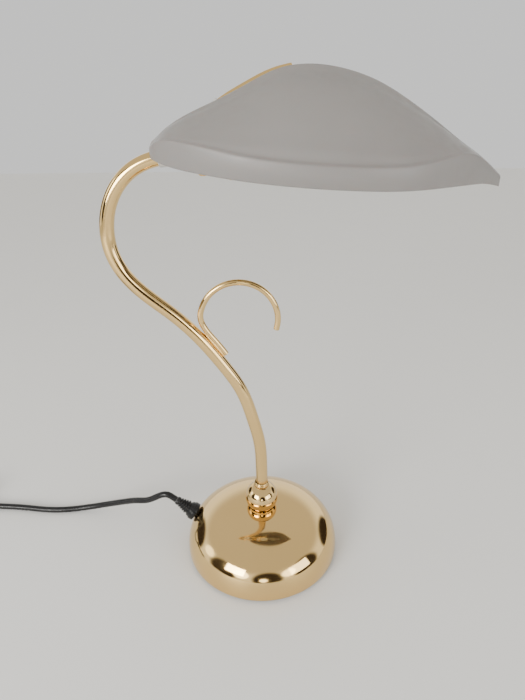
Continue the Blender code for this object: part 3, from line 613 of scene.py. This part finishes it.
class Sky:
    """World shader: a pale studio with a dim ceiling, soft windows and darker corners."""

    def __init__(self):
        world = bpy.data.worlds.new("studio")
        world.use_nodes = True
        bpy.context.scene.world = world
        self.tree = world.node_tree
        coordinates = self.tree.nodes.new("ShaderNodeTexCoord")
        self.direction = coordinates.outputs["Generated"]
        split = self.tree.nodes.new("ShaderNodeSeparateXYZ")
        self.tree.links.new(self.direction, split.inputs["Vector"])
        self.up = split.outputs["Z"]

    def step(self, value, low, high):
        node = self.tree.nodes.new("ShaderNodeMapRange")
        node.interpolation_type = "SMOOTHSTEP"
        node.inputs["From Min"].default_value = low
        node.inputs["From Max"].default_value = high
        self.tree.links.new(value, node.inputs["Value"])
        return node.outputs["Result"]

    def towards(self, direction, outer, inner):
        """1 inside a soft round patch of sky about a direction; the limits are in degrees."""
        node = self.tree.nodes.new("ShaderNodeVectorMath")
        node.operation = "DOT_PRODUCT"
        node.inputs[1].default_value = Vector(direction).normalized()
        self.tree.links.new(self.direction, node.inputs[0])
        return self.step(node.outputs["Value"], math.cos(math.radians(outer)), math.cos(math.radians(inner)))

    def mix(self, share, below, above):
        node = self.tree.nodes.new("ShaderNodeMix")
        node.data_type = "RGBA"
        self.tree.links.new(share, node.inputs["Factor"])
        for socket, value in ((node.inputs[6], below), (node.inputs[7], above)):
            if isinstance(value, tuple):
                socket.default_value = (*value, 1)
            else:
                self.tree.links.new(value, socket)
        return node.outputs[2]

    def finish(self, colour, seen):
        light_path = self.tree.nodes.new("ShaderNodeLightPath")
        chosen = self.mix(light_path.outputs["Is Camera Ray"], colour, seen)
        background = self.tree.nodes["Background"]
        self.tree.links.new(chosen, background.inputs["Color"])


def make_light():
    sky = Sky()
    colour = sky.mix(sky.step(sky.up, 0.28, 0.55), WALL_LIGHT, CEILING_LIGHT)
    for direction, size in DARK_CORNERS:
        colour = sky.mix(sky.towards(direction, size, 0.7 * size), colour, DARK_CORNER)
    for direction, size, level in WINDOWS:
        colour = sky.mix(sky.towards(direction, size, 0.75 * size), colour, (level, level, level * 0.92))
    sky.finish(colour, BACKDROP)
    area_light("key", (-0.9, -1.1, 0.62), (0, 0, 0.25), (0.7, 0.5), 18, (1, 0.985, 0.96))
    area_light("fill", (1.2, -0.9, 0.5), (0, 0, 0.25), (0.8, 0.6), 7)


# ---------------------------------------------------------------- mains cord

def gland_axis():
    """Where the strain relief goes through the base cover, and the cover's normal there."""
    share = (GLAND_Z - BASE_WIDE_Z) / (BASE_TOP - BASE_WIDE_Z)
    radius = BASE_R * (1 - share ** BASE_ROUNDNESS) ** (1 / BASE_ROUNDNESS)
    outward = (radius / BASE_R) ** (BASE_ROUNDNESS - 1) / BASE_R
    upward = share ** (BASE_ROUNDNESS - 1) / (BASE_TOP - BASE_WIDE_Z)
    radial = Vector((math.cos(GLAND_ANGLE), math.sin(GLAND_ANGLE), 0))
    normal = (radial * outward + Vector((0, 0, upward))).normalized()
    return radial * radius + Vector((0, 0, GLAND_Z)), normal


def cord_curve(name, points, radius=CORD_R):
    data = bpy.data.curves.new(name, "CURVE")
    data.dimensions = "3D"
    data.bevel_depth = radius
    data.bevel_resolution = 6
    data.use_fill_caps = True
    line = data.splines.new("POLY")
    line.points.add(len(points) - 1)
    for point, place in zip(line.points, points):
        point.co = (*place, 1.0)
    line.use_smooth = True
    return bpy.data.objects.new(name, data)


def length_of(points):
    return sum((b - a).length for a, b in zip(points, points[1:]))


def eased(value):
    share = min(1.0, max(0.0, value))
    return (1 - math.cos(math.pi * share)) / 2


def coil_points():
    """Two flat layers of turns, anticlockwise from above: inwards below, then outwards above."""
    pitch = 2 * CORD_R + 0.2 * MM
    low = CORD_R + TIE_T
    points = []
    for i in range(1, COIL_TURNS_20):
        turn = i / 20
        inwards = sum(eased((turn - k - 0.6) / 0.35) for k in range(COIL_TRACKS - 1))
        outwards = sum(eased((turn - k - 4.15) / 0.35) for k in range(COIL_TRACKS - 1))
        radius = COIL_OUTER - pitch * (inwards - outwards)
        height = low + pitch * eased((turn - 3.3) / 0.45)
        angle = math.radians(90) + 2 * math.pi * turn
        spot = Vector((math.cos(angle) * radius, math.sin(angle) * radius, height))
        points.append(COIL_CENTRE + spot)
    return points


def make_cord_to_switch(pvc):
    centre, normal = gland_axis()
    exit_point = centre + normal * (GLAND_LENGTH + 1.5 * GAP)
    start = [exit_point + normal * CORD_LEAD * share for share in (0, 0.7, 1.4)]
    near = SWITCH_CENTRE + Vector((SWITCH_SIZE.x / 2 + GAP, 0, SWITCH_CORD_Z))
    route = start + millimetres(CORD_ROUTE_1) + [near + Vector((CORD_LEAD, 0, 0)), near]
    path = smooth_path(route, 3 * MM)
    cord = cord_curve("mains_cord_near", path)
    show(cord, pvc, ["cord_to_switch"])
    return cord, exit_point, length_of(path)


def make_cord_to_plug(pvc):
    far = SWITCH_CENTRE + Vector((-SWITCH_SIZE.x / 2 - GAP, 0, SWITCH_CORD_Z))
    near_y, far_y = COIL_CENTRE.y + COIL_OUTER, COIL_CENTRE.y - COIL_OUTER
    plug_end = Vector((PLUG_BACK_X - GAP, far_y, PLUG_SIZE.z / 2))
    route = [far, far - Vector((CORD_LEAD, 0, 0))] + millimetres(CORD_ROUTE_2)
    route += [Vector((COIL_CENTRE.x + dx * MM, near_y, z * MM)) for dx, z in ((22, 3.4), (10, 3.4))]
    route += coil_points()
    route += [Vector((COIL_CENTRE.x + dx * MM, far_y, z * MM)) for dx, z in ((0, 9.2), (12, 8.9), (23, 8))]
    route += [plug_end - Vector((CORD_LEAD, 0, 0)), plug_end]
    path = smooth_path(route, 3 * MM)
    cord = cord_curve("mains_cord_far", path)
    show(cord, pvc, ["cord_to_coil", "cord_coil", "cord_to_plug"])
    return cord, far, length_of(path)


def make_tie(pvc):
    """A flat strap round the coil's turns, opposite the plug."""
    middle_r = COIL_OUTER - 1.5 * (2 * CORD_R + 0.2 * MM)
    half_w = COIL_OUTER - middle_r + CORD_R + 0.1 * MM
    high = 4 * CORD_R + TIE_T + 0.3 * MM
    outline = rounded_loop(half_w + TIE_T, high + TIE_T, 3 * MM)
    inner = rounded_loop(half_w, high, 2.5 * MM, lift=TIE_T)
    centre = COIL_CENTRE + Vector((-middle_r, 0, 0))
    bm = bmesh.new()
    loops = []
    for y, loop in ((-TIE_W / 2, outline), (TIE_W / 2, outline), (TIE_W / 2, inner), (-TIE_W / 2, inner)):
        loops.append([bm.verts.new(centre + Vector((x, y, z))) for x, z in loop])
    for near, far in zip(loops, loops[1:] + loops[:1]):
        bridge(bm, near, far)
    tie = finished("cord_tie", bm, 60)
    show(tie, pvc)
    return tie


def rounded_loop(half_width, height, corner, lift=0.0):
    """A rectangle (x, z) with round corners, standing on the table or lifted off it."""
    spots = ((half_width - corner, lift + corner, -90), (half_width - corner, height - corner, 0),
             (corner - half_width, height - corner, 90), (corner - half_width, lift + corner, 180))
    points = []
    for x, z, start in spots:
        points += arc((x, z), corner, start, start + 90, 7)
    return points


def make_strain_relief(pvc):
    """Flanged grommet with a ribbed, tapered tail."""
    centre, normal = gland_axis()
    tip, tail = GLAND_LENGTH, CORD_R + 0.6 * MM
    profile = [(0, tip), (CORD_R + 0.1 * MM, tip), (tail, tip, 0.3 * MM)]
    ribs, rib_l = 5, 2.3 * MM
    for i in range(ribs):
        high = tip - 1.6 * MM - i * rib_l
        wide = tail + (7 * MM - tail) * (tip - high) / (tip - 7 * MM)
        neck = max(tail * 0.9, wide - 0.9 * MM)
        profile += [(wide, high), (wide, high - 1.3 * MM), (neck, high - 1.45 * MM), (neck, high - 2.15 * MM)]
    head = GLAND_HEAD_R
    profile += [(6.9 * MM, 7.2 * MM), (head - 1.2 * MM, 6.1 * MM, 1 * MM), (head, 5 * MM, 1 * MM),
                (head, 1.3 * MM), (head - 0.6 * MM, 0.9 * MM), (GLAND_NECK_R, 0.9 * MM),
                (GLAND_NECK_R, -4 * MM), (0, -4 * MM)]
    relief = turned("strain_relief_grommet", rounded(profile, 0.22 * MM, 3), aim(centre, normal), 64)
    show(relief, pvc, ["strain_relief"])


# ---------------------------------------------------------------- glass shade

SHADE_READ = {key: table_curve(table) for key, table in
              (("ridge", RIDGE), ("rim", RIM), ("half", HALF_WIDTH), ("vein", VEIN), ("shoulder", SHOULDER))}


def from_round_end(x):
    return min(max((x - SHADE_X0) / MM, 0), SHADE_L / MM)


def shade_sizes(x):
    distance = from_round_end(x)
    half = SHADE_HALF_WIDTH * SHADE_READ["half"](distance)
    depth = max(0.0, SHADE_READ["vein"](min(distance, VEIN[-1][0]))) * MM
    return half, SHADE_READ["rim"](distance) * MM, SHADE_READ["ridge"](distance) * MM, depth


def half_section(x, inset=0.0):
    """Outline (y, z) of one side of the shade at x, from its rim to the middle of its ridge."""
    half, rim, top, depth = shade_sizes(x)
    half = max(half - inset, 0.3 * half)
    band = SHADE_READ["shoulder"](from_round_end(x)) * MM
    top -= inset
    shoulder = rim + band
    # the upper glass starts a little inside the band, which leaves the soft line
    ledge = min(1.3 * MM, 0.04 * half)
    points = [(half * 0.95, rim), (half * 0.985, rim + 0.45 * band), (half * 0.985, shoulder - 1.6 * ledge),
              (half * 0.985 - 0.3 * ledge, shoulder - 0.5 * ledge), (half * 0.985 - 1.6 * ledge, shoulder)]
    upper = half * 0.985 - 1.6 * ledge
    for share in (0.95, 0.88, 0.78, 0.66, 0.5, 0.33, 0.2):
        points.append((upper * share, shoulder + (top - shoulder) * (1 - share ** 1.7)))
    wide = min(1.3 * VEIN_HALF_WIDTH, 0.15 * half)
    for share, sink in ((1.0, 0.05), (0.62, 0.45), (0.31, 0.9), (0.0, 1.0)):
        points.append((wide * share, top - depth * sink))
    at, length = spline([(y, 0, z) for y, z in points])
    return [(float(at(s)[0]), float(at(s)[2])) for s in np.linspace(0, length, SHADE_ACROSS)]


def shade_row(x, hollow):
    """One closed loop of the shade at x. hollow is 1 where it is a thin shell and 0 where solid."""
    outer = half_section(x)
    inner = half_section(x, GLASS_T)
    rim = shade_sizes(x)[1]
    inner = [(y, rim + (z - rim) * hollow) for y, z in inner]
    width = max(0.2 * MM, outer[0][0] - inner[0][0])
    bead = [(outer[0][0] - width / 2 + width / 2 * math.cos(a), rim - 0.9 * MM * math.sin(a))
            for a in np.radians([25, 60, 90, 120, 155])]
    side = outer[::-1] + bead + inner
    mirrored = [(-y, z) for y, z in side[::-1]]
    loop = side + mirrored[1:-1]
    return [Vector((x, y, z)) for y, z in loop]


def make_shade(glass):
    spots = [SHADE_X0 + SHADE_L * (0.35 * s + 0.65 * (1 - math.cos(math.pi * s)) / 2)
             for s in np.linspace(0, 1, SHADE_STATIONS)]
    solid_from = SHADE_X0 + SHADE_L - 4.5 * GLASS_T
    solid_length = 22 * MM
    rows = []
    for x in spots:
        hollow = eased((solid_from - x) / solid_length)
        rows.append(shade_row(x, hollow))
    bm = bmesh.new()
    made = [[bm.verts.new(p) for p in row] for row in rows]
    for near, far in zip(made, made[1:]):
        bridge(bm, near, far)
    around = len(rows[0])
    side = around // 2 + 1
    for row in (made[0], made[-1]):
        for sign in (1, -1):
            for i in range(side // 2):
                spots = (i, i + 1, side - 2 - i, side - 1 - i)
                bm.faces.new(list(dict.fromkeys(row[sign * spot % around] for spot in spots)))
    shade = finished("satin_glass_shade", bm, 50)
    show(shade, glass, ["glass_shade"])


def shade_rod_path():
    """Up from the clamp, through the glass, then along the vein to its free end."""
    foot = in_plane([(CLAMP_X / MM, 341), (CLAMP_X / MM, 346.5), (-33.2, 352.4), (-28.6, 358)])
    along = []
    for x in (-16, -6, 4, 14, 22):
        _, _, here, depth = shade_sizes(x * MM)
        slope = (shade_sizes((x + 2) * MM)[2] - shade_sizes((x - 2) * MM)[2]) / (4 * MM)
        lift = (ROD_R + 1.5 * GAP) * math.sqrt(1 + slope ** 2)
        along.append(Vector((x * MM, 0, here - depth + lift)))
    return smooth_path(foot + along, 1.2 * MM)


def make_shade_fixing(brass, silicone):
    rod = swept("shade_rod_polished", shade_rod_path(), ROD_R, 32, 0.5 * MM)
    show(rod, brass, ["shade_rod"])
    wrapped = [p for p in shade_rod_path() if -31.5 * MM < p.x < -22 * MM]
    sleeve = swept("rod_grommet", wrapped, ROD_R + 1.2 * MM, 32, 0.5 * MM,
                   lambda share: 1 - 0.10 * math.sin(math.pi * share))
    show(sleeve, silicone, ["rod_sleeve"])
    mouth = [p for p in stem_path() if p.z > 0.95 * HEAD_Z and SHADE_X0 + MM < p.x < -54 * MM]
    rest = swept("rest_grommet", mouth, TUBE_R + 1.2 * MM, 40, 0.5 * MM)
    show(rest, silicone, ["rest_sleeve"])

    low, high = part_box("shade_clamp")
    block = soft_box("shade_clamp_block", low, high, 1.2 * MM, 4)
    reach, bore_r = 20 * MM, TUBE_R + GAP
    bore = turned("clamp_bore", [(0, -reach), (bore_r, -reach), (bore_r, reach), (0, reach)],
                  aim(Vector((CLAMP_X, 0, HEAD_Z)), (1, 0, 0)), 48)
    carve(block, bore)
    show(block, brass, ["shade_clamp"])

    low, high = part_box("clamp_screw")
    head_r = (high.x - low.x) / 2
    length = high.z - low.z
    profile = [(0, 0), (0.5 * head_r, 0), (0.85 * head_r, 0.25 * MM), (head_r, 0.9 * MM), (head_r, 3.3 * MM),
               (2 * MM, 3.4 * MM), (2 * MM, length), (0, length)]

    def knurl(angle, height):
        grips = 0.9 * MM < height < 3.35 * MM
        return 1 - 0.035 * (1 + math.cos(22 * angle)) if grips else 1 - 0.07 * (height < 0.9 * MM)

    screw = turned("clamp_thumbscrew", rounded(profile, 0.2 * MM, 3), None, 132, ripple=knurl)
    slot = soft_box("slot", (-5 * MM, -0.4 * MM, -1 * MM), (5 * MM, 0.4 * MM, 0.7 * MM), 0.05 * MM, 1)
    carve(screw, slot)
    screw.location = (CLAMP_X, 0, low.z)
    show(screw, brass, ["clamp_screw"], "clamp_screw")


# ---------------------------------------------------------------- base and stem

def make_base(brass, felt):
    hole = TUBE_R + GAP
    start = math.asin((hole / BASE_R) ** (BASE_ROUNDNESS / 2))
    dome = []
    for i in range(DOME_STEPS + 1):
        angle = start + (math.pi / 2 - start) * (i / DOME_STEPS)
        dome.append((BASE_R * math.sin(angle) ** (2 / BASE_ROUNDNESS),
                     BASE_WIDE_Z + (BASE_TOP - BASE_WIDE_Z) * math.cos(angle) ** (2 / BASE_ROUNDNESS)))
    felt_low, felt_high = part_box("felt_pad")
    rim = felt_high.z + GAP
    skirt = [(BASE_R - 0.25 * MM, BASE_WIDE_Z * 0.62), (BASE_R - 0.9 * MM, rim + 0.8 * MM),
             (BASE_R - 1.5 * MM, rim), (BASE_R - 2.3 * MM, rim + 0.1 * MM),
             (BASE_R - 2.5 * MM, rim + 1.2 * MM)]
    wall = 1.2 * MM
    inner = [(max(hole, r - wall), z - wall * 0.9) for r, z in dome[::-1] if z > BASE_WIDE_Z]
    cover = turned("brass_base_cover", dome + skirt + inner, None, 192, closed=True)
    show(cover, brass, ["base_cover"])

    wide = (felt_high.x - felt_low.x) / 2
    top = felt_high.z
    profile = [(0, top), (wide - 0.5 * MM, top), (wide, 0.7 * top), (wide - 0.1 * MM, 0.25 * top),
               (wide - 0.6 * MM, 0), (0, 0)]
    pad = turned("felt_foot", rounded(profile, 0.4 * MM), None, 144)
    show(pad, felt, ["felt_pad"])


def make_ball(brass):
    low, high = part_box("stem_ball")
    radius = (high.x - low.x) / 2
    flat = 6.4 * MM
    centre = high.z - math.sqrt(radius ** 2 - flat ** 2)
    start = math.asin(flat / radius)
    end = math.pi - math.acos((centre - low.z) / radius)
    arc_points = [(radius * math.sin(a), centre + radius * math.cos(a)) for a in np.linspace(start, end, 40)]
    bore = TUBE_R + GAP
    ball = turned("stem_ball_polished", arc_points + [(bore, low.z), (bore, high.z)], None, 96, closed=True)
    show(ball, brass, ["stem_ball"])

    low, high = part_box("stem_collar")
    wide = (high.x - low.x) / 2
    tall = high.z - low.z
    profile = [(bore, low.z), (wide, low.z), (wide, low.z + 0.35 * tall),
               (wide - 0.45 * MM, low.z + 0.45 * tall),
               (wide - 0.1 * MM, low.z + 0.58 * tall), (wide - 0.1 * MM, low.z + 0.8 * tall),
               (bore + 0.1 * MM, high.z), (bore, high.z)]
    collar = turned("stem_ferrule", rounded(profile, 0.3 * MM), None, 96, closed=True)
    show(collar, brass, ["stem_collar"])


def stem_path():
    route = in_plane(STEM_ROUTE)
    route[0].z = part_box("stem_tube")[0].z
    return smooth_path(route, 2.5 * MM)


def scroll_path():
    curl = []
    for i in range(13):
        angle = math.radians(176 + (-17 - 176) * i / 12)
        curl.append(SCROLL_CENTRE + Vector((math.cos(angle), 0, math.sin(angle))) * SCROLL_R)
    return smooth_path(in_plane(SCROLL_FOOT) + curl, 2 * MM)


def make_stem(brass):
    tube = swept("stem_tube_polished", stem_path(), TUBE_R, 48, 0.4 * MM)
    show(tube, brass, ["stem_tube"])
    scroll = swept("scroll_rod_polished", scroll_path(), ROD_R, 32, 0.5 * MM)
    show(scroll, brass, ["scroll_rod"])
    make_solder(brass)


def make_solder(brass):
    """The thin fillet of brazing where the scroll rod lies on the stem."""
    stem = stem_path()
    seam = []
    for point in scroll_path():
        if point.z > 211 * MM:
            break
        nearest = min(stem, key=lambda p: (p - point).length)
        towards = (nearest - point).normalized()
        seam.append(point + towards * (ROD_R - 0.25 * MM))
    for side in (-1, 1):
        bead = [p + Vector((0, side * 1.5 * MM, 0)) for p in seam]
        name = "brazing_near" if side < 0 else "brazing_far"
        fillet = swept(name, bead, 0.95 * MM, 16, 0.3 * MM,
                       lambda share: 0.45 + 0.55 * math.sin(math.pi * min(1, 0.15 + share * 0.85)))
        show(fillet, brass)


# ---------------------------------------------------------------- lampholder and bulb

def on_head_axis(x):
    return aim(Vector((x, 0, HEAD_Z)), (1, 0, 0))


def make_lampholder(plastic, brass):
    low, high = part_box("lampholder_cap")
    radius = (high.z - low.z) / 2
    length = high.x - low.x
    bore = TUBE_R + GAP
    wall = 1.5 * MM
    cap = [(bore, 0), (0.6 * radius, 0), (0.85 * radius, 0.1 * length), (radius, 0.35 * length),
           (radius, 0.5 * length), (radius - 0.5 * MM, 0.53 * length), (radius, 0.56 * length),
           (radius, length), (radius - wall, length), (radius - wall, 0.4 * length),
           (0.6 * radius, wall + 0.5 * MM), (bore, wall)]
    piece = turned("holder_cap", rounded(cap, 0.4 * MM, 3), on_head_axis(low.x), 96, closed=True)
    show(piece, plastic, ["lampholder_cap"])

    low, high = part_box("lampholder_body")
    radius = (high.z - low.z) / 2
    length = high.x - low.x
    outside = [(radius - 2.4 * MM, 0), (radius, 0)]
    step = 2.2 * MM
    for i in range(9):
        at = 6 * MM + i * step
        outside += [(radius, at), (radius - 0.5 * MM, at + 0.5 * step), (radius, at + step)]
    outside += [(radius, length), (radius - 2.4 * MM, length)]
    piece = turned("holder_body", rounded(outside, 0.25 * MM, 2), on_head_axis(low.x), 96, closed=True)
    show(piece, plastic, ["lampholder_body"])

    low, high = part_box("lampholder_ring")
    radius = (high.z - low.z) / 2
    length = high.x - low.x
    bore = 13.8 * MM

    def knurl(angle, height):
        return 1 - 0.012 * (1 + math.cos(60 * angle)) if 0.8 * MM < height < length - 0.8 * MM else 1

    band = [(bore, 0)] + [(radius, length * i / 8) for i in range(9)] + [(bore, length)]
    piece = turned("holder_ring", rounded(band, 0.3 * MM, 3), on_head_axis(low.x), 240, closed=True,
                   ripple=knurl)
    show(piece, brass, ["lampholder_ring"])


def make_bulb(nickel, clear_glass):
    low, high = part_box("bulb_cap")
    radius = (high.z - low.z) / 2
    length = high.x - low.x
    turns = 5
    profile = [(0, 0), (2.6 * MM, 0), (radius - 1.6 * MM, 2.2 * MM), (radius - 0.8 * MM, 3 * MM)]
    pitch = (length - 5 * MM) / turns
    for i in range(turns):
        at = 3.2 * MM + i * pitch
        profile += [(radius - 0.7 * MM, at), (radius, at + 0.5 * pitch)]
    profile += [(radius - 0.6 * MM, length - 1.6 * MM), (radius, length - 1 * MM), (radius, length),
                (0, length)]
    cap = turned("bulb_screw_cap", rounded(profile, 0.5 * MM, 3), on_head_axis(low.x), 64)
    show(cap, nickel, ["bulb_cap"], "bulb")

    low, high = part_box("bulb_glass")
    wide = (high.z - low.z) / 2
    length = high.x - low.x
    outline = [(6.4 * MM / wide, 0), (0.48, 0.03), (0.7, 0.09), (0.93, 0.19), (1.0, 0.33), (0.9, 0.48),
               (0.68, 0.66), (0.42, 0.82), (0.22, 0.93), (0.1, 0.985)]
    at, span = spline([(r * wide, 0, z * length) for r, z in outline])
    outer = [(float(at(t)[0]), float(at(t)[2])) for t in np.linspace(0, span, 48)] + [(0, length)]
    wall = 0.8 * MM
    inner = [(r - wall, z) for r, z in outer[::-1] if r > 2 * wall and z < length - 1.5 * wall]
    glass = turned("bulb_envelope", outer + [(0, length - wall)] + inner, on_head_axis(low.x), 72,
                   closed=True)
    show(glass, clear_glass, ["bulb_glass"], "bulb")

    loops = []
    for i in range(61):
        t = i / 60
        along = 14 + 34 * abs(math.sin(2 * math.pi * t))
        loops.append(Vector((low.x + along * MM, 5 * math.cos(2 * math.pi * t) * MM,
                             HEAD_Z + 5 * math.sin(4 * math.pi * t) * MM)))
    wire = swept("bulb_filament", loops[:-1], 0.35 * MM, 10, 0.1 * MM)
    show(wire, FILAMENT, (), "bulb")


# ---------------------------------------------------------------- switch and plug

def make_switch(moulded):
    half = SWITCH_SIZE / 2
    centre = SWITCH_CENTRE
    shells = (("switch_shell_low", "switch_bottom", 0, SWITCH_SPLIT),
              ("switch_shell_high", "switch_top", SWITCH_SPLIT + GAP, SWITCH_SIZE.z))
    for name, node, low, high in shells:
        rows = []
        for share in np.linspace(-1, 1, 41):
            squeeze = (1 - abs(share) ** 6) ** (1 / 3) * 0.18 + 0.82
            wide = half.y * squeeze
            tall = (high - low)
            top = low + tall if node == "switch_bottom" else low + tall * (0.86 + 0.14 * squeeze)
            bottom = low
            rows.append(housing_loop(centre.x + share * half.x, centre.y, wide, bottom, top, node))
        shell = lofted(name, rows, 50)
        if node == "switch_top":
            window = soft_box("window", centre + Vector((-8.3 * MM, -5.5 * MM, 9.5 * MM)),
                              centre + Vector((8.3 * MM, 5.5 * MM, 30 * MM)), 0.8 * MM, 3)
            carve(shell, window)
        show(shell, moulded, [node])
    for side in (-1, 1):
        cone = [(CORD_R + 0.15 * MM, 6 * MM), (CORD_R + 0.9 * MM, 6 * MM), (5 * MM, 0), (5.2 * MM, -2 * MM),
                (CORD_R + 0.15 * MM, -2 * MM)]
        at = centre + Vector((side * (half.x - 5.5 * MM), 0, SWITCH_CORD_Z))
        nose = turned(f"switch_nose_{'near' if side > 0 else 'far'}", rounded(cone, 0.3 * MM),
                      aim(at, (side, 0, 0)), 48, closed=True)
        show(nose, moulded)


def housing_loop(x, y, half_width, low, high, node):
    """Cross-section of a switch shell: rounded outside, flat at the seam between the shells."""
    big, small = 3 * MM, 0.4 * MM
    lower, upper = (big, small) if node == "switch_bottom" else (small, big)
    points = []
    corners = ((1, 0, lower, -90), (1, 1, upper, 0), (-1, 1, upper, 90), (-1, 0, lower, 180))
    for dx, dz, corner, start in corners:
        cx = y + dx * (half_width - corner)
        cz = high - corner if dz else low + corner
        points += arc((cx, cz), corner, start, start + 90, 8)
    return [Vector((x, py, pz)) for py, pz in points]


def make_rocker(moulded):
    """Rocker cap with a dished top, tilted to its off side like its CAD solid."""
    pivot = SWITCH_CENTRE + Vector((0, 0, 14 * MM))
    rows = []
    for share in np.linspace(-1, 1, 25):
        half_w = 4.8 * MM * (1 - 0.10 * abs(share) ** 8)
        top = (3.6 + 1.6 * share ** 2) * MM - 0.7 * MM * abs(share) ** 10
        bottom = -1.6 * MM - 2.6 * MM * (1 - min(1, abs(share) * 1.25)) ** 0.7
        points = []
        corner = 0.7 * MM
        for dx, dz, start in ((1, 0, -90), (1, 1, 0), (-1, 1, 90), (-1, 0, 180)):
            cz = top - corner if dz else bottom + corner
            points += arc((dx * (half_w - corner), cz), corner, start, start + 90, 6)
        rows.append([Vector((share * 7.1 * MM, y, z)) for y, z in points])
    rocker = lofted("switch_rocker_cap", rows, 50)
    tilt = Matrix.Rotation(math.radians(-8), 4, "Y")
    rocker.data.transform(Matrix.Translation(pivot) @ tilt)
    show(rocker, moulded, ["switch_rocker"], "rocker")


def make_plug(moulded, nickel):
    centre_y = COIL_CENTRE.y - COIL_OUTER
    mid_z = PLUG_SIZE.z / 2
    rows = []
    length = PLUG_NOSE_L + PLUG_SIZE.x
    for i in range(57):
        share = i / 56
        x = PLUG_BACK_X + share * length
        body = eased((x - PLUG_BACK_X - 0.35 * PLUG_NOSE_L) / (0.9 * PLUG_NOSE_L))
        grip = 0.5 * MM * math.sin(math.pi * 2 * share * 9) * (0.35 < share < 0.8)
        front = (1 - max(0, (share - 0.93) / 0.07) ** 3 * 0.12)
        half_w = (CORD_R + 0.9 * MM + (PLUG_SIZE.y / 2 - CORD_R - 0.9 * MM) * body) * front
        half_w += grip * body - 0.25 * MM
        half_h = (CORD_R + 0.9 * MM + (PLUG_SIZE.z / 2 - CORD_R - 0.9 * MM) * body) * front - 0.05 * MM
        loop = []
        for k in range(48):
            a = 2 * math.pi * k / 48
            c, d = math.cos(a), math.sin(a)
            power = 2 / (2 + 2.2 * body)
            loop.append(Vector((x, centre_y + half_w * math.copysign(abs(c) ** power, c),
                                mid_z + half_h * math.copysign(abs(d) ** power, d))))
        rows.append(loop)
    body = lofted("plug_moulding", rows, 50)
    show(body, moulded, ["plug_body"])
    pieces = [body]
    for number in (1, 2):
        low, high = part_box(f"plug_pin_{number}")
        radius = (high.y - low.y) / 2
        at = aim(Vector((low.x, (low.y + high.y) / 2, (low.z + high.z) / 2)), (1, 0, 0))
        length = high.x - low.x
        sleeve_l = 0.52 * length
        pin = [(0, 0), (0.8 * radius, 0), (0.8 * radius, sleeve_l), (radius, sleeve_l + 0.1 * MM),
               (radius, length - 1.4 * MM), (0.55 * radius, length), (0, length)]
        piece = turned(f"plug_pin_metal_{number}", rounded(pin, 0.4 * MM), at, 48)
        show(piece, nickel, [f"plug_pin_{number}"])
        cover = [(0.82 * radius, 0), (radius, 0), (radius, sleeve_l - 0.1 * MM),
                 (0.82 * radius, sleeve_l - 0.1 * MM)]
        sleeve = turned(f"plug_pin_sleeve_{number}", rounded(cover, 0.15 * MM), at, 48, closed=True)
        show(sleeve, moulded)
        pieces += [piece, sleeve]
    return pieces


# ---------------------------------------------------------------- the lamp

make_camera()
make_floor()
make_light()
finish_cad_nodes()

brass = MATERIALS["polished_brass"]
near_cord, gland_exit, near_length = make_cord_to_switch(MATERIALS["black_pvc"])
far_cord, switch_exit, far_length = make_cord_to_plug(MATERIALS["black_pvc"])
tie = make_tie(MOULDED)
plug = make_plug(MOULDED, MATERIALS["nickel"])
make_switch(MOULDED)
make_rocker(MOULDED)
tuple(gland_exit)
make_strain_relief(MATERIALS["black_pvc"])
make_shade(MATERIALS["satin_glass"])
make_shade_fixing(brass, MATERIALS["clear_silicone"])
make_base(brass, MATERIALS["black_felt"])
make_ball(brass)
make_stem(brass)
make_lampholder(MATERIALS["white_thermoplastic"], brass)
make_bulb(MATERIALS["nickel"], MATERIALS["bulb_glass"])
